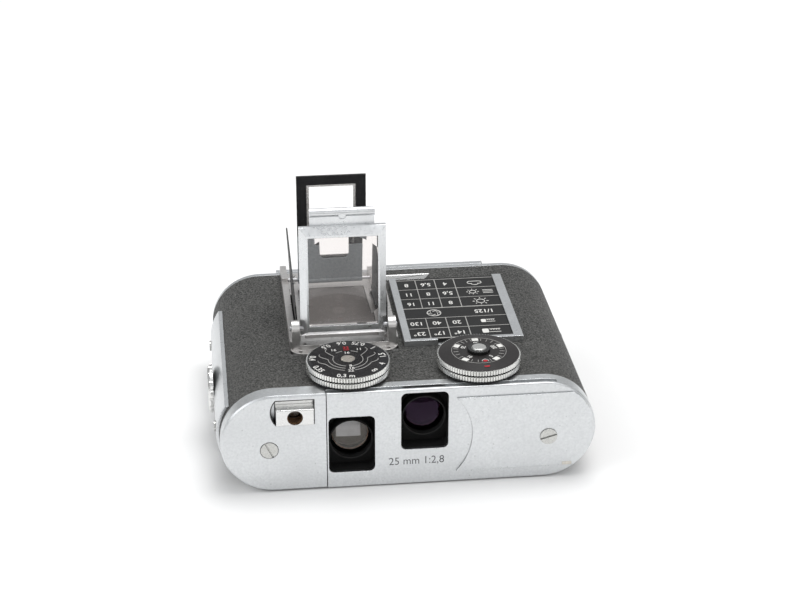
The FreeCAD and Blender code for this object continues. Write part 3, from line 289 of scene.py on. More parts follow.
def painted(name, colour, rough, grain=6000.0, wear=0.6, dust=0.2, gloss=0.3):
    """Paint or enamel over metal: faint grain, dust, and bare metal where the edges are rubbed."""
    made, tree, shader = new_material(name, Specular_IOR_Level=gloss)
    worn = place_group(tree, WORN_EDGES, Radius=0.00008, Breakup=1600.0)
    marks = place_group(tree, HANDLING, Smudge_Scale=200.0, Speck_Scale=1500.0)
    frost = place_group(tree, FROSTING, Grain_Scale=grain)
    lighter = tuple(c * 1.4 + 0.002 for c in colour)
    base = mixed(tree, frost["Tone"], colour, lighter)
    base = mixed(tree, maths(tree, "MULTIPLY", marks["Speck"], dust), base, (0.4, 0.39, 0.37))
    rubbed = maths(tree, "MULTIPLY", worn["Edge"], wear)
    base = mixed(tree, rubbed, base, (0.5, 0.48, 0.45))
    tree.links.new(base, shader.inputs["Base Color"])
    tree.links.new(rubbed, shader.inputs["Metallic"])
    level = maths(tree, "ADD", maths(tree, "MULTIPLY", marks["Smudge"], 0.12), rough)
    level = maths(tree, "SUBTRACT", level, maths(tree, "MULTIPLY", marks["Scratch"], rough * 0.3))
    tree.links.new(level, shader.inputs["Roughness"])
    bumped(tree, shader, frost["Height"], 0.00001, 0.3, worn["Rounded"])
    return made


def knob_finish():
    """The reminder knob: a bright cap in a blackened knurled skirt."""
    made = plated("knob_finish", (0.78, 0.78, 0.76), (0.68, 0.68, 0.66), 0.16, 9000.0, edge=0.00005)
    tree, shader = made.node_tree, made.node_tree.nodes["Principled BSDF"]
    knob = middle("reminder_knob")
    offset = add(tree, "VectorMath", operation="SUBTRACT")
    tree.links.new(add(tree, "TexCoord").outputs["Object"], offset.inputs[0])
    offset.inputs[1].default_value = knob
    flat = add(tree, "VectorMath", operation="MULTIPLY")
    tree.links.new(offset.outputs["Vector"], flat.inputs[0])
    flat.inputs[1].default_value = (1.0, 1.0, 0.0)
    length = add(tree, "VectorMath", operation="LENGTH")
    tree.links.new(flat.outputs["Vector"], length.inputs[0])
    skirt = ramp(tree, length.outputs["Value"], 1.26 * MM, 1.32 * MM)
    bright = shader.inputs["Base Color"].links[0].from_socket
    tree.links.new(mixed(tree, skirt, bright, (0.012, 0.012, 0.012)), shader.inputs["Base Color"])
    tree.links.new(ramp(tree, skirt, 1.0, 0.0), shader.inputs["Metallic"])
    return made


def leathercloth():
    """Pebbled black leathercloth, with painted shade darkening its creases and grey in random flecks."""
    made, tree, shader = new_material("leathercloth", Specular_IOR_Level=0.25, Sheen_Weight=0.05,
                                      Sheen_Roughness=0.6)
    grain = place_group(tree, PEBBLES)
    marks = place_group(tree, HANDLING, Smudge_Scale=70.0, Speck_Scale=900.0)
    worn = place_group(tree, WORN_EDGES, Radius=0.0003)
    # painted shade: the creases between the pebbles are darker than the pebble tops
    base = mixed(tree, grain["Crease"], (0.058, 0.058, 0.055), (0.016, 0.016, 0.015))
    base = mixed(tree, maths(tree, "MULTIPLY", grain["Fleck"], 0.6), base, (0.19, 0.188, 0.178))
    base = mixed(tree, maths(tree, "MULTIPLY", marks["Smudge"], 0.3), base, (0.085, 0.082, 0.075))
    base = mixed(tree, maths(tree, "MULTIPLY", worn["Edge"], 0.4), base, (0.2, 0.19, 0.175))
    tree.links.new(base, shader.inputs["Base Color"])
    level = maths(tree, "ADD", maths(tree, "MULTIPLY", grain["Crease"], 0.25), 0.5)
    tree.links.new(level, shader.inputs["Roughness"])
    bumped(tree, shader, grain["Height"], 0.00009, 0.75)
    return made


def clear_glass(name, tint, coating=None):
    """Polished glass with a little haze of fingerprints; coating tints its reflections."""
    made, tree, shader = new_material(name, Transmission_Weight=1.0, IOR=1.52, Base_Color=(*tint, 1.0))
    if coating:
        shader.inputs["Specular Tint"].default_value = (*coating, 1.0)
        shader.inputs["Specular IOR Level"].default_value = 0.9
    marks = place_group(tree, HANDLING, Smudge_Scale=160.0, Speck_Scale=1800.0)
    haze = maths(tree, "ADD", maths(tree, "MULTIPLY", marks["Smudge"], 0.03), 0.02)
    haze = maths(tree, "ADD", haze, maths(tree, "MULTIPLY", marks["Speck"], 0.12))
    tree.links.new(haze, shader.inputs["Roughness"])
    return made


def frosted_glass():
    """Ground glass, grey and dull, with a fine grain."""
    made, tree, shader = new_material("frosted_glass", Transmission_Weight=0.3, IOR=1.5)
    frost = place_group(tree, FROSTING, Grain_Scale=12000.0)
    base = mixed(tree, frost["Tone"], (0.2, 0.19, 0.185), (0.3, 0.285, 0.275))
    tree.links.new(base, shader.inputs["Base Color"])
    tree.links.new(ramp(tree, frost["Tone"], -2.0, 1.0), shader.inputs["Roughness"])
    bumped(tree, shader, frost["Height"], 0.00001, 0.5)
    return made


def filled(name, colour):
    """Paint rubbed into an engraving: matt, uneven, a little worn."""
    made, tree, shader = new_material(name, Specular_IOR_Level=0.3)
    marks = place_group(tree, HANDLING, Smudge_Scale=900.0)
    faded = tuple(c * 0.6 for c in colour)
    base = mixed(tree, maths(tree, "MULTIPLY", marks["Smudge"], 0.35), colour, faded)
    tree.links.new(base, shader.inputs["Base Color"])
    tree.links.new(ramp(tree, marks["Smudge"], -1.5, 1.5), shader.inputs["Roughness"])
    return made


# the seventh number, where given, sets how dark the painted shade in corners gets; the knurled rings get the
# most
SATIN_CHROME = plated("satin_chrome", (0.72, 0.735, 0.745), (0.62, 0.635, 0.645), 0.27, 7000.0)
FINDER_CHROME = plated("finder_chrome", (0.78, 0.79, 0.8), (0.7, 0.715, 0.725), 0.24, 5000.0, 0.0001, 0.45)
TRAY_METAL = plated("tray_metal", (0.7, 0.685, 0.67), (0.62, 0.605, 0.595), 0.26, 5000.0, 0.0001, 0.5)
SCREW_STEEL = plated("screw_steel", (0.62, 0.62, 0.6), (0.5, 0.5, 0.48), 0.2, 6000.0, edge=0.00006)
BRIGHT_CHROME = plated("bright_chrome", (0.8, 0.8, 0.79), (0.72, 0.72, 0.71), 0.16, 9000.0, edge=0.00005)
KNURL_CHROME = plated("knurl_chrome", (0.82, 0.82, 0.8), (0.74, 0.74, 0.72), 0.18, 9000.0, 0.00004, 1.8)
AGED_NICKEL = plated("aged_nickel", (0.74, 0.7, 0.64), (0.6, 0.57, 0.52), 0.24, 5000.0, edge=0.00008)
STEEL = plated("steel", (0.56, 0.56, 0.57), (0.46, 0.46, 0.47), 0.34, 4000.0)
CAST_ALLOY = plated("cast_alloy", (0.3, 0.3, 0.31), (0.2, 0.2, 0.21), 0.55, 2500.0)
SHELL_METAL = plated("shell_metal", (0.5, 0.5, 0.5), (0.4, 0.4, 0.4), 0.45, 3000.0)
BRASS = plated("brass", (0.72, 0.55, 0.28), (0.6, 0.44, 0.2), 0.3, 5000.0)
BLACK_PAINT = painted("black_paint", (0.01, 0.01, 0.011), 0.42)
BLACK_ENAMEL = painted("black_enamel", (0.006, 0.006, 0.007), 0.22, dust=0.1)
SATIN_BLACK = painted("satin_black", (0.014, 0.012, 0.012), 0.36, grain=9000.0, dust=0.08)
TABLE_BLACK = painted("table_black", (0.012, 0.012, 0.012), 0.4, 9000.0, wear=0.3, dust=0.12, gloss=0.22)
GREY_PAINT = painted("grey_paint", (0.23, 0.255, 0.27), 0.4, wear=0.4)
MATT_BLACK = painted("matt_black", (0.008, 0.008, 0.008), 0.8, wear=0.1, dust=0.1)
SPOOL_PLASTIC = painted("spool_plastic", (0.03, 0.03, 0.03), 0.45, wear=0.0)
FILM_BASE = painted("film_base", (0.07, 0.045, 0.04), 0.18, wear=0.0, dust=0.05)
LEATHERCLOTH = leathercloth()
KNOB_FINISH = knob_finish()
FINDER_GLASS = clear_glass("finder_glass", (0.86, 0.825, 0.81))
LENS_GLASS = clear_glass("lens_glass", (0.95, 0.94, 0.93), coating=(1.0, 0.93, 0.85))
COATED_GLASS = clear_glass("coated_glass", (0.2, 0.13, 0.19), coating=(0.36, 0.24, 0.42))
# painted glow: a pale fill for the bright reflection in the viewing lens
GLOW = filled("glow", (0.62, 0.63, 0.66))
# painted reflection: a warm fill for the rings in both lens barrels
AMBER = filled("amber", (0.16, 0.075, 0.04))
SOCKET_BROWN = plated("socket_brown", (0.2, 0.12, 0.07), (0.1, 0.06, 0.04), 0.35, 9000.0)
FROSTED_GLASS = frosted_glass()
MIRROR = plated("mirror", (0.93, 0.93, 0.93), (0.92, 0.92, 0.92), 0.0, 9000.0, edge=0.00001)
WHITE_FILL = filled("white_fill", (0.78, 0.77, 0.74))
GREY_FILL = filled("grey_fill", (0.5, 0.49, 0.47))
RED_FILL = filled("red_fill", (0.5, 0.02, 0.03))
# painted shade: a near-black fill for the front's seams
SEAM_SHADE = filled("painted_seam_shade", (0.05, 0.048, 0.045))
DARK_FILL = filled("dark_fill", (0.09, 0.09, 0.095))

FINISHES = {
    SATIN_CHROME: ("front_panel", "front_bezel", "cover_plate", "release_housing", "rear_cap", "rear_plate",
                   "side_plate", "film_door", "winding_knob", "table_shoe"),
    FINDER_CHROME: ("lid_frame", "lid_tongue"),
    TRAY_METAL: ("finder_tray",),
    SCREW_STEEL: ("front_screws", "small_screws"),
    BRIGHT_CHROME: ("release_button", "aperture_wheel", "sight_liner"),
    KNURL_CHROME: ("focus_ring", "speed_ring"),
    KNOB_FINISH: ("reminder_knob",),
    AGED_NICKEL: ("focus_screw",),
    STEEL: ("door_hinge_pin", "door_latch", "release_spring", "focus_shaft", "speed_shaft", "lid_hinge_pin",
            "rear_hinge_pin", "shutter_blade", "sprocket", "mainspring"),
    CAST_ALLOY: ("chassis",),
    SHELL_METAL: ("body_shell",),
    BRASS: ("mainspring_drum",),
    BLACK_PAINT: ("sight_frame", "left_flap", "right_flap", "dial_seats", "pressure_plate",
                  "film_cassettes"),
    BLACK_ENAMEL: ("focus_scale",),
    SATIN_BLACK: ("speed_scale",),
    TABLE_BLACK: ("exposure_table",),
    GREY_PAINT: ("back_wall",),
    MATT_BLACK: ("window_liners", "lens_board", "lens_barrels", "light_baffle", "shutter_plate"),
    SPOOL_PLASTIC: ("supply_spool", "takeup_spool"),
    FILM_BASE: ("film_strip",),
    LEATHERCLOTH: ("leather_covering",),
    FINDER_GLASS: ("lid_glass",),
    LENS_GLASS: ("viewing_lens_glass",),
    COATED_GLASS: ("taking_lens_glass",),
    FROSTED_GLASS: ("ground_glass",),
    MIRROR: ("viewing_mirror", "taking_mirror"),
}
for finish, nodes in FINISHES.items():
    for node in nodes:
        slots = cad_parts[node].data.materials
        slots.clear()
        slots.append(finish)

# ---- tools for new pieces ---------------------------------------------------------------------------


def deselect():
    """Leaves edit mode and selects nothing."""
    if bpy.context.object and bpy.context.object.mode != "OBJECT":
        bpy.ops.object.mode_set(mode="OBJECT")
    bpy.ops.object.select_all(action="DESELECT")


def apply_place(piece):
    """Works the piece's place, turn and scale into its mesh, so that its origin is at zero."""
    deselect()
    piece.select_set(True)
    bpy.context.view_layer.objects.active = piece
    bpy.ops.object.transform_apply(location=True, rotation=True, scale=True)
    return piece


def stroke(points, half_width=LINE):
    """A thin line along the points, half sunk in the surface that it is drawn on."""
    curve = bpy.data.curves.new("stroke", "CURVE")
    curve.dimensions = "3D"
    curve.bevel_depth = half_width
    curve.bevel_resolution = 1
    spline = curve.splines.new("POLY")
    spline.points.add(len(points) - 1)
    for point, place in zip(spline.points, points):
        point.co = (*place, 1.0)
    piece = bpy.data.objects.new("stroke", curve)
    bpy.context.scene.collection.objects.link(piece)
    deselect()
    piece.select_set(True)
    bpy.context.view_layer.objects.active = piece
    bpy.ops.object.convert(target="MESH")
    return bpy.context.object


def lettering(words, size, place, turn, standing=False, narrow=1.0, weight=0.014):
    """Raised characters, lying flat and turned about Z, or standing on a face that looks along -Y.

    narrow squeezes their width; weight thickens the strokes, as a share of the size.
    """
    deselect()
    bpy.ops.object.text_add(location=(0, 0, 0))
    piece = bpy.context.object
    piece.data.body = words
    piece.data.size = size
    piece.data.align_x = "CENTER"
    piece.data.align_y = "CENTER"
    piece.data.extrude = ENGRAVED
    piece.data.resolution_u = 3
    piece.data.offset = weight * size
    bpy.ops.object.convert(target="MESH")
    piece = bpy.context.object
    piece.scale = (narrow, 1.0, 1.0)
    piece.rotation_euler = (math.pi / 2 if standing else 0.0, 0.0, turn)
    piece.location = place
    return apply_place(piece)


def patch(width, depth, place, turn=0.0, rounding=0.12 * MM):
    """A filled rectangle with round corners, lying flat."""
    deselect()
    bpy.ops.mesh.primitive_plane_add(size=1.0)
    piece = bpy.context.object
    piece.scale = (width, depth, 1.0)
    apply_place(piece)
    bpy.ops.object.mode_set(mode="EDIT")
    bpy.ops.mesh.select_all(action="SELECT")
    bpy.ops.mesh.bevel(offset=rounding, segments=3, affect="VERTICES")
    bpy.ops.mesh.extrude_region_move(TRANSFORM_OT_translate={"value": (0, 0, ENGRAVED)})
    bpy.ops.mesh.select_all(action="SELECT")
    bpy.ops.mesh.normals_make_consistent(inside=False)
    bpy.ops.object.mode_set(mode="OBJECT")
    piece.rotation_euler = (0, 0, turn)
    piece.location = place
    return apply_place(piece)


def block(centre, size, rounding, segments=1):
    """A box with bevelled edges."""
    deselect()
    bpy.ops.mesh.primitive_cube_add(size=1.0, location=centre)
    piece = bpy.context.object
    piece.scale = size
    apply_place(piece)
    bpy.ops.object.modifier_add(type="BEVEL")
    piece.modifiers[-1].width = rounding
    piece.modifiers[-1].segments = segments
    bpy.ops.object.modifier_apply(modifier=piece.modifiers[-1].name)
    return piece


def finished(name, pieces, finish, body):
    """Joins the pieces into one object that rides on a body."""
    deselect()
    for piece in pieces:
        piece.select_set(True)
    bpy.context.view_layer.objects.active = pieces[0]
    if len(pieces) > 1:
        bpy.ops.object.join()
    made = bpy.context.object
    made.name = made.data.name = name
    apply_place(made)
    made.data.materials.clear()
    made.data.materials.append(finish)
    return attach(made, body)


def around(centre, radius, degrees, rise=0.0):
    """The point at a radius and an angle about the centre, as much as rise above it."""
    angle = math.radians(degrees)
    return Vector((centre.x + radius * math.cos(angle), centre.y + radius * math.sin(angle),
                   centre.z + rise))


def arc(centre, radius, first, last, steps=24):
    """Points along an arc, between two angles in degrees."""
    return [around(centre, radius, first + (last - first) * i / steps) for i in range(steps + 1)]


def smooth(piece, degrees=35):
    """Smooth shading up to a limiting angle."""
    deselect()
    piece.select_set(True)
    bpy.context.view_layer.objects.active = piece
    bpy.ops.object.shade_smooth_by_angle(angle=math.radians(degrees))
    return piece


# ---- focus dial -------------------------------------------------------------------------------------
DISTANCES = ((-47, "∞"), (-22, "4"), (8, "1,5"), (39, "1"), (68, "0,75"), (96, "0,6"), (124, "0,5"),
             (171, "0,4"), (210, "0,35"), (262, "0,3 m"))
NUMBER_RING = 6.15 * MM
DISTANCE_TEXT = 1.55 * MM
STOP_TEXT = 1.05 * MM
DEPTH_START = -78  # angle where the depth lines begin
DEPTH_OUTER = 5.2 * MM  # radius where they end
SHORT_ARC_R = 3.1 * MM
# radius in mm, angle where the line steps out, angle of its end
DEPTH_LINES = ((2.6, 30, 50), (3.4, 5, 24), (4.2, -20, -2))
# angle, radius in mm, number
FOCUS_STOPS = ((-84, 2.5, "8"), (-84, 3.4, "16"), (-88, 4.3, "22"), (58, 4.2, "11"), (122, 4.2, "16"),
               (90, 2.4, "16"))


def depth_line(radius, bend, end, side):
    """An arc round the dial's middle that steps outwards to the number ring; side -1 mirrors it."""
    inner = radius * MM
    points = []
    for i in range(33):
        t = i / 32
        angle = DEPTH_START + (end - DEPTH_START) * t
        step = min(1.0, max(0.0, (angle - bend + 4) / (end - bend)))
        r = inner + (DEPTH_OUTER - inner) * step * step * (3 - 2 * step)
        if side < 0:
            angle = 180 - angle
        points.append(around(FOCUS, r, angle))
    return stroke(points)


def make_focus_engraving():
    """Distances, depth-of-field lines and stop numbers, on the focus scale."""
    numbers = []
    for a, words in DISTANCES:
        place = around(FOCUS, NUMBER_RING, a)
        numbers.append(lettering(words, DISTANCE_TEXT, place, math.radians(a + 90), narrow=0.9))
    finished("focus_distances", numbers, WHITE_FILL, "focus_dial")
    lines = [depth_line(*shape, side) for shape in DEPTH_LINES for side in (-1, 1)]
    lines.append(stroke(arc(FOCUS, SHORT_ARC_R, 52, 76, 8)))
    lines.append(stroke(arc(FOCUS, SHORT_ARC_R, 104, 128, 8)))
    finished("focus_depth_lines", lines, GREY_FILL, "focus_dial")
    marks = [lettering(words, STOP_TEXT, around(FOCUS, r * MM, a), 0.0) for a, r, words in FOCUS_STOPS]
    finished("focus_stop_numbers", marks, WHITE_FILL, "focus_dial")
    red = [lettering("22", 1.1 * MM, around(FOCUS, 4.3 * MM, 90), 0.0)]
    red.append(stroke([around(FOCUS, 3.5 * MM, 82), around(FOCUS, 3.5 * MM, 98)], 0.08 * MM))
    finished("focus_red_mark", red, RED_FILL, "focus_dial")


# ---- speed dial -------------------------------------------------------------------------------------
SPEEDS = ((20, "200"), (91, "50"), (150, "25"), (228, "10"), (308, "5"))
SQUARE_RING = 4.15 * MM
SPEED_RING = 2.95 * MM
SPEED_TEXT = 1.1 * MM
TICK_RING = (3.6 * MM, 4.45 * MM)
RED_DOT = 278  # angle of the dot, which the ticks leave free


def make_speed_engraving():
    """Squares, numbers, ticks and the red index, on the speed scale."""
    squares = [patch(1.15 * MM, 0.95 * MM, around(SPEED, SQUARE_RING, a), math.radians(a + 90))
               for a, _ in SPEEDS]
    finished("speed_squares", squares, WHITE_FILL, "speed_dial")
    numbers = [lettering(words, SPEED_TEXT, around(SPEED, SPEED_RING, a), math.radians(a + 90), narrow=0.85)
               for a, words in SPEEDS]
    finished("speed_numbers", numbers, WHITE_FILL, "speed_dial")
    ticks = [stroke(arc(SPEED, 4.74 * MM, 0, 360, 72), 0.035 * MM)]
    starts = [a for a, _ in SPEEDS]
    for start, end in zip(starts, starts[1:] + [starts[0] + 360]):
        for i in range(1, 5):
            angle = start + (end - start) * i / 5
            if abs(angle % 360 - RED_DOT) > 9:
                ticks.append(stroke([around(SPEED, radius, angle) for radius in TICK_RING], 0.045 * MM))
    finished("speed_ticks", ticks, GREY_FILL, "speed_dial")
    dot = around(SPEED, 4.0 * MM, RED_DOT)
    index = around(SPEED, 5.6 * MM, 276, -0.15 * MM)
    red = [patch(0.7 * MM, 0.6 * MM, dot, 0.0, 0.2 * MM), patch(1.0 * MM, 0.7 * MM, index, 0.0, 0.3 * MM)]
    finished("speed_red_marks", red, RED_FILL, "speed_dial")
    bow = stroke(arc(dot, 0.55 * MM, -20, 200, 16), 0.05 * MM)
    finished("speed_mark_ring", [bow], WHITE_FILL, "speed_dial")


# ---- exposure table ---------------------------------------------------------------------------------
ROWS = (("23°", "17°", "14°"), ("130", "40", "20"), None,
        ("16", "11", "8"), ("11", "8", "5,6"), ("8", "5,6", "4"))
NUMBER_COLUMN = 3.65 * MM
TABLE_TEXT = 1.9 * MM
THIN_RULE, RULE, BOLD_RULE = 0.06 * MM, 0.09 * MM, 0.11 * MM  # half widths
ICON_LINE = 0.08 * MM
IRIS_R = 1.25 * MM


def sun(centre, radius):
    """A circle with eight rays."""
    pieces = [stroke(arc(centre, radius, 0, 360, 20), ICON_LINE)]
    for i in range(8):
        ray = [around(centre, radius * 1.45, 45 * i), around(centre, radius * 2.0, 45 * i)]
        pieces.append(stroke(ray, ICON_LINE))
    return pieces


def cloud(centre, size):
    """Three humps on a flat base; its top points to the front, as the table reads from the rear."""
    humps = ((-0.85, 0.0, 0.55, 90, 300), (0.0, -0.35, 0.75, 200, 340), (0.85, 0.0, 0.55, 240, 450))
    pieces = []
    for x, y, r, first, last in humps:
        middle_point = centre + Vector((x * size, y * size, 0))
        pieces.append(stroke(arc(middle_point, r * size, first, last, 14), ICON_LINE))
    base = centre + Vector((0, 0.55 * size, 0))
    side = Vector((0.85 * size, 0, 0))
    pieces.append(stroke([base - side, base + side], ICON_LINE))
    return pieces


def film_roll(centre, size):
    """A can with a tongue of film that comes out of it."""
    pieces = [patch(1.1 * size, 1.5 * size, centre + Vector((-0.9 * size, 0, 0)), 0.0, 0.25 * size)]
    for y in (-0.55, 0.55):
        edge = centre + Vector((0, y * size, 0))
        ends = [edge + Vector((x * size, 0, 0)) for x in (-0.3, 1.7)]
        pieces.append(stroke(ends, 0.07 * MM))
    for i in range(4):
        hole = centre + Vector(((0.1 + 0.45 * i) * size, 0.32 * size, 0))
        pieces.append(patch(0.22 * size, 0.2 * size, hole, 0.0, 0.03 * size))
    return pieces


def make_table_engraving():
    """The grid, the stops for each light and film, and small pictures in place of words."""
    top = TABLE_HIGH.z
    left, right = TABLE_LOW.x + 0.15 * MM, TABLE_HIGH.x - 0.15 * MM
    front, rear = TABLE_LOW.y + 0.15 * MM, TABLE_HIGH.y - 0.7 * MM
    row = (rear - front) / len(ROWS)
    columns = [left + NUMBER_COLUMN * i for i in range(4)]
    lines = []
    for i in range(len(ROWS) + 1):
        y = front + row * i
        width = BOLD_RULE if i in (0, 3) else THIN_RULE
        lines.append(stroke([(left, y, top), (right, y, top)], width))
    for x in columns[1:]:
        lines.append(stroke([(x, front, top), (x, front + 2 * row, top)], RULE))
        lines.append(stroke([(x, front + 3 * row, top), (x, rear, top)], RULE))
    finished("table_grid", lines, GREY_FILL, "table")
    numbers = []
    for i, words in enumerate(ROWS):
        y = front + row * (i + 0.5)
        for j, word in enumerate(words or ()):
            place = ((columns[j] + columns[j + 1]) / 2, y, top)
            numbers.append(lettering(word, TABLE_TEXT, place, math.pi, narrow=0.85))
    header = (columns[3] + (right - columns[3]) / 2, front + row * 2.5, top)
    numbers.append(lettering("1/125", TABLE_TEXT, header, math.pi, narrow=0.85))
    finished("table_numbers", numbers, WHITE_FILL, "table")
    label = Vector((columns[3] + (right - columns[3]) / 2, 0, top))
    rows = [label + Vector((0, front + row * (i + 0.5), 0)) for i in range(len(ROWS))]
    icons = film_roll(rows[0], 1.05 * MM) + film_roll(rows[1], 0.8 * MM) + sun(rows[3], 0.75 * MM)
    icons += sun(rows[4] - Vector((0.9 * MM, 0, 0)), 0.6 * MM)
    for y in (-0.6, 0.0, 0.6):
        haze = rows[4] + Vector((1.0 * MM, y * MM, 0))
        icons.append(stroke([haze, haze + Vector((1.9 * MM, 0, 0))], ICON_LINE))
    icons += cloud(rows[5], 0.95 * MM)
    aperture = Vector(((columns[0] + columns[3]) / 2, front + row * 2.5, top))
    icons.append(stroke(arc(aperture, IRIS_R, 0, 360, 28), RULE))
    for i in range(6):
        blade = [around(aperture, IRIS_R, 60 * i), around(aperture, 0.62 * MM, 60 * i + 50)]
        icons.append(stroke(blade, 0.07 * MM))
    finished("table_icons", icons, WHITE_FILL, "table")


# ---- front and small trim ---------------------------------------------------------------------------
SEAM = 0.1 * MM  # half the width of a painted shadow line along a seam
BADGE_LOW = Vector((0.6 * MM, 18.9 * MM, LEATHER_TOP))
BADGE_HIGH = Vector((9.3 * MM, 21.2 * MM, LEATHER_TOP))
BADGE_SLANT = 1.3 * MM
BADGE_THICK = 0.15 * MM
CONTACT_Y, CONTACT_Z = 8.0 * MM, 9.25 * MM
SOCKET_Z = 14.55 * MM
THREAD_R, THREAD_PITCH = 1.3 * MM, 0.36 * MM


def make_front_engraving():
    """The lens's figures, under its window."""
    place = (1.2 * MM, PANEL_Y, 4.5 * MM)
    figures = lettering("25 mm 1:2,8", 2.1 * MM, place, 0.0, True, 0.92, -0.004)
    finished("lens_figures", [figures], DARK_FILL, "root")


def make_painted_seam_shade():
    """Painted shade in the seams of the front: dark lines round the button's recess, and a painted shadow
    under the cover plate.
    """
    low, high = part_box("release_button")
    gap, y = 0.1 * MM, PANEL_Y + 0.02 * MM
    left, right, bottom, top = low.x - gap, high.x + gap, low.z - gap, high.z + gap
    # painted shade: dark lines round the button's recess, on its four sides and its curved left side
    lines = [stroke([(left, y, top), (right, y, top), (right, y, bottom), (left, y, bottom)], 0.09 * MM)]
    centre = Vector((low.x + 2.7 * MM, y, (bottom + top) / 2))
    bow = [centre + 3.6 * MM * Vector((-math.cos(a / 10), 0, math.sin(a / 10))) for a in range(-7, 8)]
    lines.append(stroke(bow, SEAM))
    low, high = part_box("cover_plate")
    # painted shadow under the cover plate's lower edge
    under = low.z - 0.05 * MM
    lines.append(stroke([(low.x, y, under), (high.x - 4.2 * MM, y, under)], SEAM))
    finished("front_painted_shade", lines, SEAM_SHADE, "root")
    place = (high.x - 4.6 * MM, low.y - 0.02 * MM, low.z + 0.35 * MM)
    ridge = block(place, (1.7 * MM, 0.2 * MM, 0.6 * MM), 0.12 * MM, 3)
    finished("cover_ridge", [smooth(ridge)], AGED_NICKEL, "root")


def make_sight_leaf():
    """The two dark legs of the sight's inner leaf, low in its window."""
    low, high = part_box("sight_frame")
    centre = (low + high) / 2
    offset, height = 3.73 * MM, 29.2 * MM  # of a leg's middle, from the window's middle and from the base
    size = (0.86 * MM, (high.y - low.y) / 2, 5.4 * MM)
    legs = [block((centre.x + side * offset, centre.y, height), size, 0.06 * MM) for side in (-1, 1)]
    finished("sight_inner_leaf", legs, BLACK_PAINT, "sight")


def make_badge():
    """A blank plate on the leather behind the table, slanted at its right end, with a sunk middle."""
    size = BADGE_HIGH - BADGE_LOW
    corner = Vector((BADGE_HIGH.x, BADGE_LOW.y, LEATHER_TOP))
    deselect()
    bpy.ops.mesh.primitive_plane_add(size=1.0, location=(BADGE_LOW + BADGE_HIGH) / 2)
    plate = bpy.context.object
    plate.scale = (size.x, size.y, 1.0)
    apply_place(plate)
    front_right = min(plate.data.vertices, key=lambda v: (v.co - corner).length)
    front_right.co.x -= BADGE_SLANT
    bpy.ops.object.mode_set(mode="EDIT")
    bpy.ops.mesh.select_all(action="SELECT")
    bpy.ops.mesh.bevel(offset=0.2 * MM, segments=3, affect="VERTICES")
    bpy.ops.mesh.extrude_region_move(TRANSFORM_OT_translate={"value": (0, 0, BADGE_THICK)})
    bpy.ops.mesh.inset(thickness=0.28 * MM)
    bpy.ops.transform.translate(value=(0, 0, -0.08 * MM))
    bpy.ops.mesh.select_all(action="SELECT")
    bpy.ops.mesh.normals_make_consistent(inside=False)
    bpy.ops.object.mode_set(mode="OBJECT")
    finished("blank_badge", [plate], BRIGHT_CHROME, "root")


def turned_ring(name, centre, axis, profile, finish):
    """A closed ring on the root body: the (radius, height) profile in mm, spun about a level axis."""
    deselect()
    bpy.ops.mesh.primitive_circle_add(vertices=len(profile), radius=MM)
    piece = bpy.context.object
    for vertex, (r, h) in zip(piece.data.vertices, profile):
        vertex.co = centre + Vector((0, 0, r * MM)) + axis * h * MM
    bpy.ops.object.mode_set(mode="EDIT")
    bpy.ops.mesh.select_all(action="SELECT")
    bpy.ops.mesh.spin(steps=40, angle=math.tau, center=centre, axis=axis)
    bpy.ops.mesh.select_all(action="SELECT")
    bpy.ops.mesh.remove_doubles(threshold=1e-7)
    bpy.ops.mesh.normals_make_consistent(inside=False)
    bpy.ops.object.mode_set(mode="OBJECT")
    finished(name, [smooth(piece)], finish, "root")


def make_flash_contact():
    """A small flush contact with a raised rim on the right end."""
    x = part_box("leather_covering")[1].x
    centre, outward = Vector((x, CONTACT_Y, CONTACT_Z)), Vector((1, 0, 0))
    rim = ((1.0, -0.3), (1.7, -0.3), (1.7, 0.12), (1.55, 0.24), (1.15, 0.24), (1.0, 0.1))
    turned_ring("flash_contact_rim", centre, outward, rim, BRIGHT_CHROME)
    pip = ((0.05, -0.3), (0.95, -0.3), (0.95, 0.0), (0.6, 0.0), (0.5, 0.12), (0.05, 0.16))
    turned_ring("flash_contact_pip", centre, outward, pip, BRASS)


def make_socket_thread():
    """The brown threaded lining of the cable-release socket."""
    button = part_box("release_button")
    x = (button[0].x + button[1].x) / 2
    rings = []
    for i in range(6):
        deselect()
        place = (x, button[0].y + 0.45 * MM + THREAD_PITCH * i, SOCKET_Z)
        bpy.ops.mesh.primitive_torus_add(location=place, rotation=(math.pi / 2, 0, 0), major_radius=THREAD_R,
                                         minor_radius=0.14 * MM, major_segments=32, minor_segments=6)
        ring = bpy.context.object
        ring.scale = (1.0, 1.0, 1.15)
        rings.append(smooth(apply_place(ring)))
    finished("socket_thread", rings, SOCKET_BROWN, "release")


def make_lens_reflections():
    """Painted reflections in the lenses: a pale block behind the viewing lens and warm inner rims in both
    barrels.
    """
    for name in ("viewing", "taking"):
        low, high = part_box(name + "_lens_glass")
        centre = (low + high) / 2
        place = (centre.x, high.y + 0.35 * MM, centre.z)
        # painted reflection: a warm ring behind each lens's glass
        deselect()
        bpy.ops.mesh.primitive_torus_add(location=place, rotation=(math.pi / 2, 0, 0), major_radius=3.0 * MM,
                                         minor_radius=0.28 * MM, major_segments=48, minor_segments=8)
        rim = smooth(apply_place(bpy.context.object))
        finished(name + "_painted_reflection_rim", [rim], AMBER, "lens_mount")
    low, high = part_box("viewing_lens_glass")
    centre = (low + high) / 2
    # painted reflection: a pale block behind the viewing lens, standing in for the bright ground glass seen
    # through it
    place = (centre.x - 0.2 * MM, high.y + 0.75 * MM, centre.z + 0.7 * MM)
    stop = block(place, (3.6 * MM, 0.12 * MM, 3.4 * MM), 0.05 * MM)
    finished("viewing_painted_reflection", [stop], GLOW, "lens_mount")


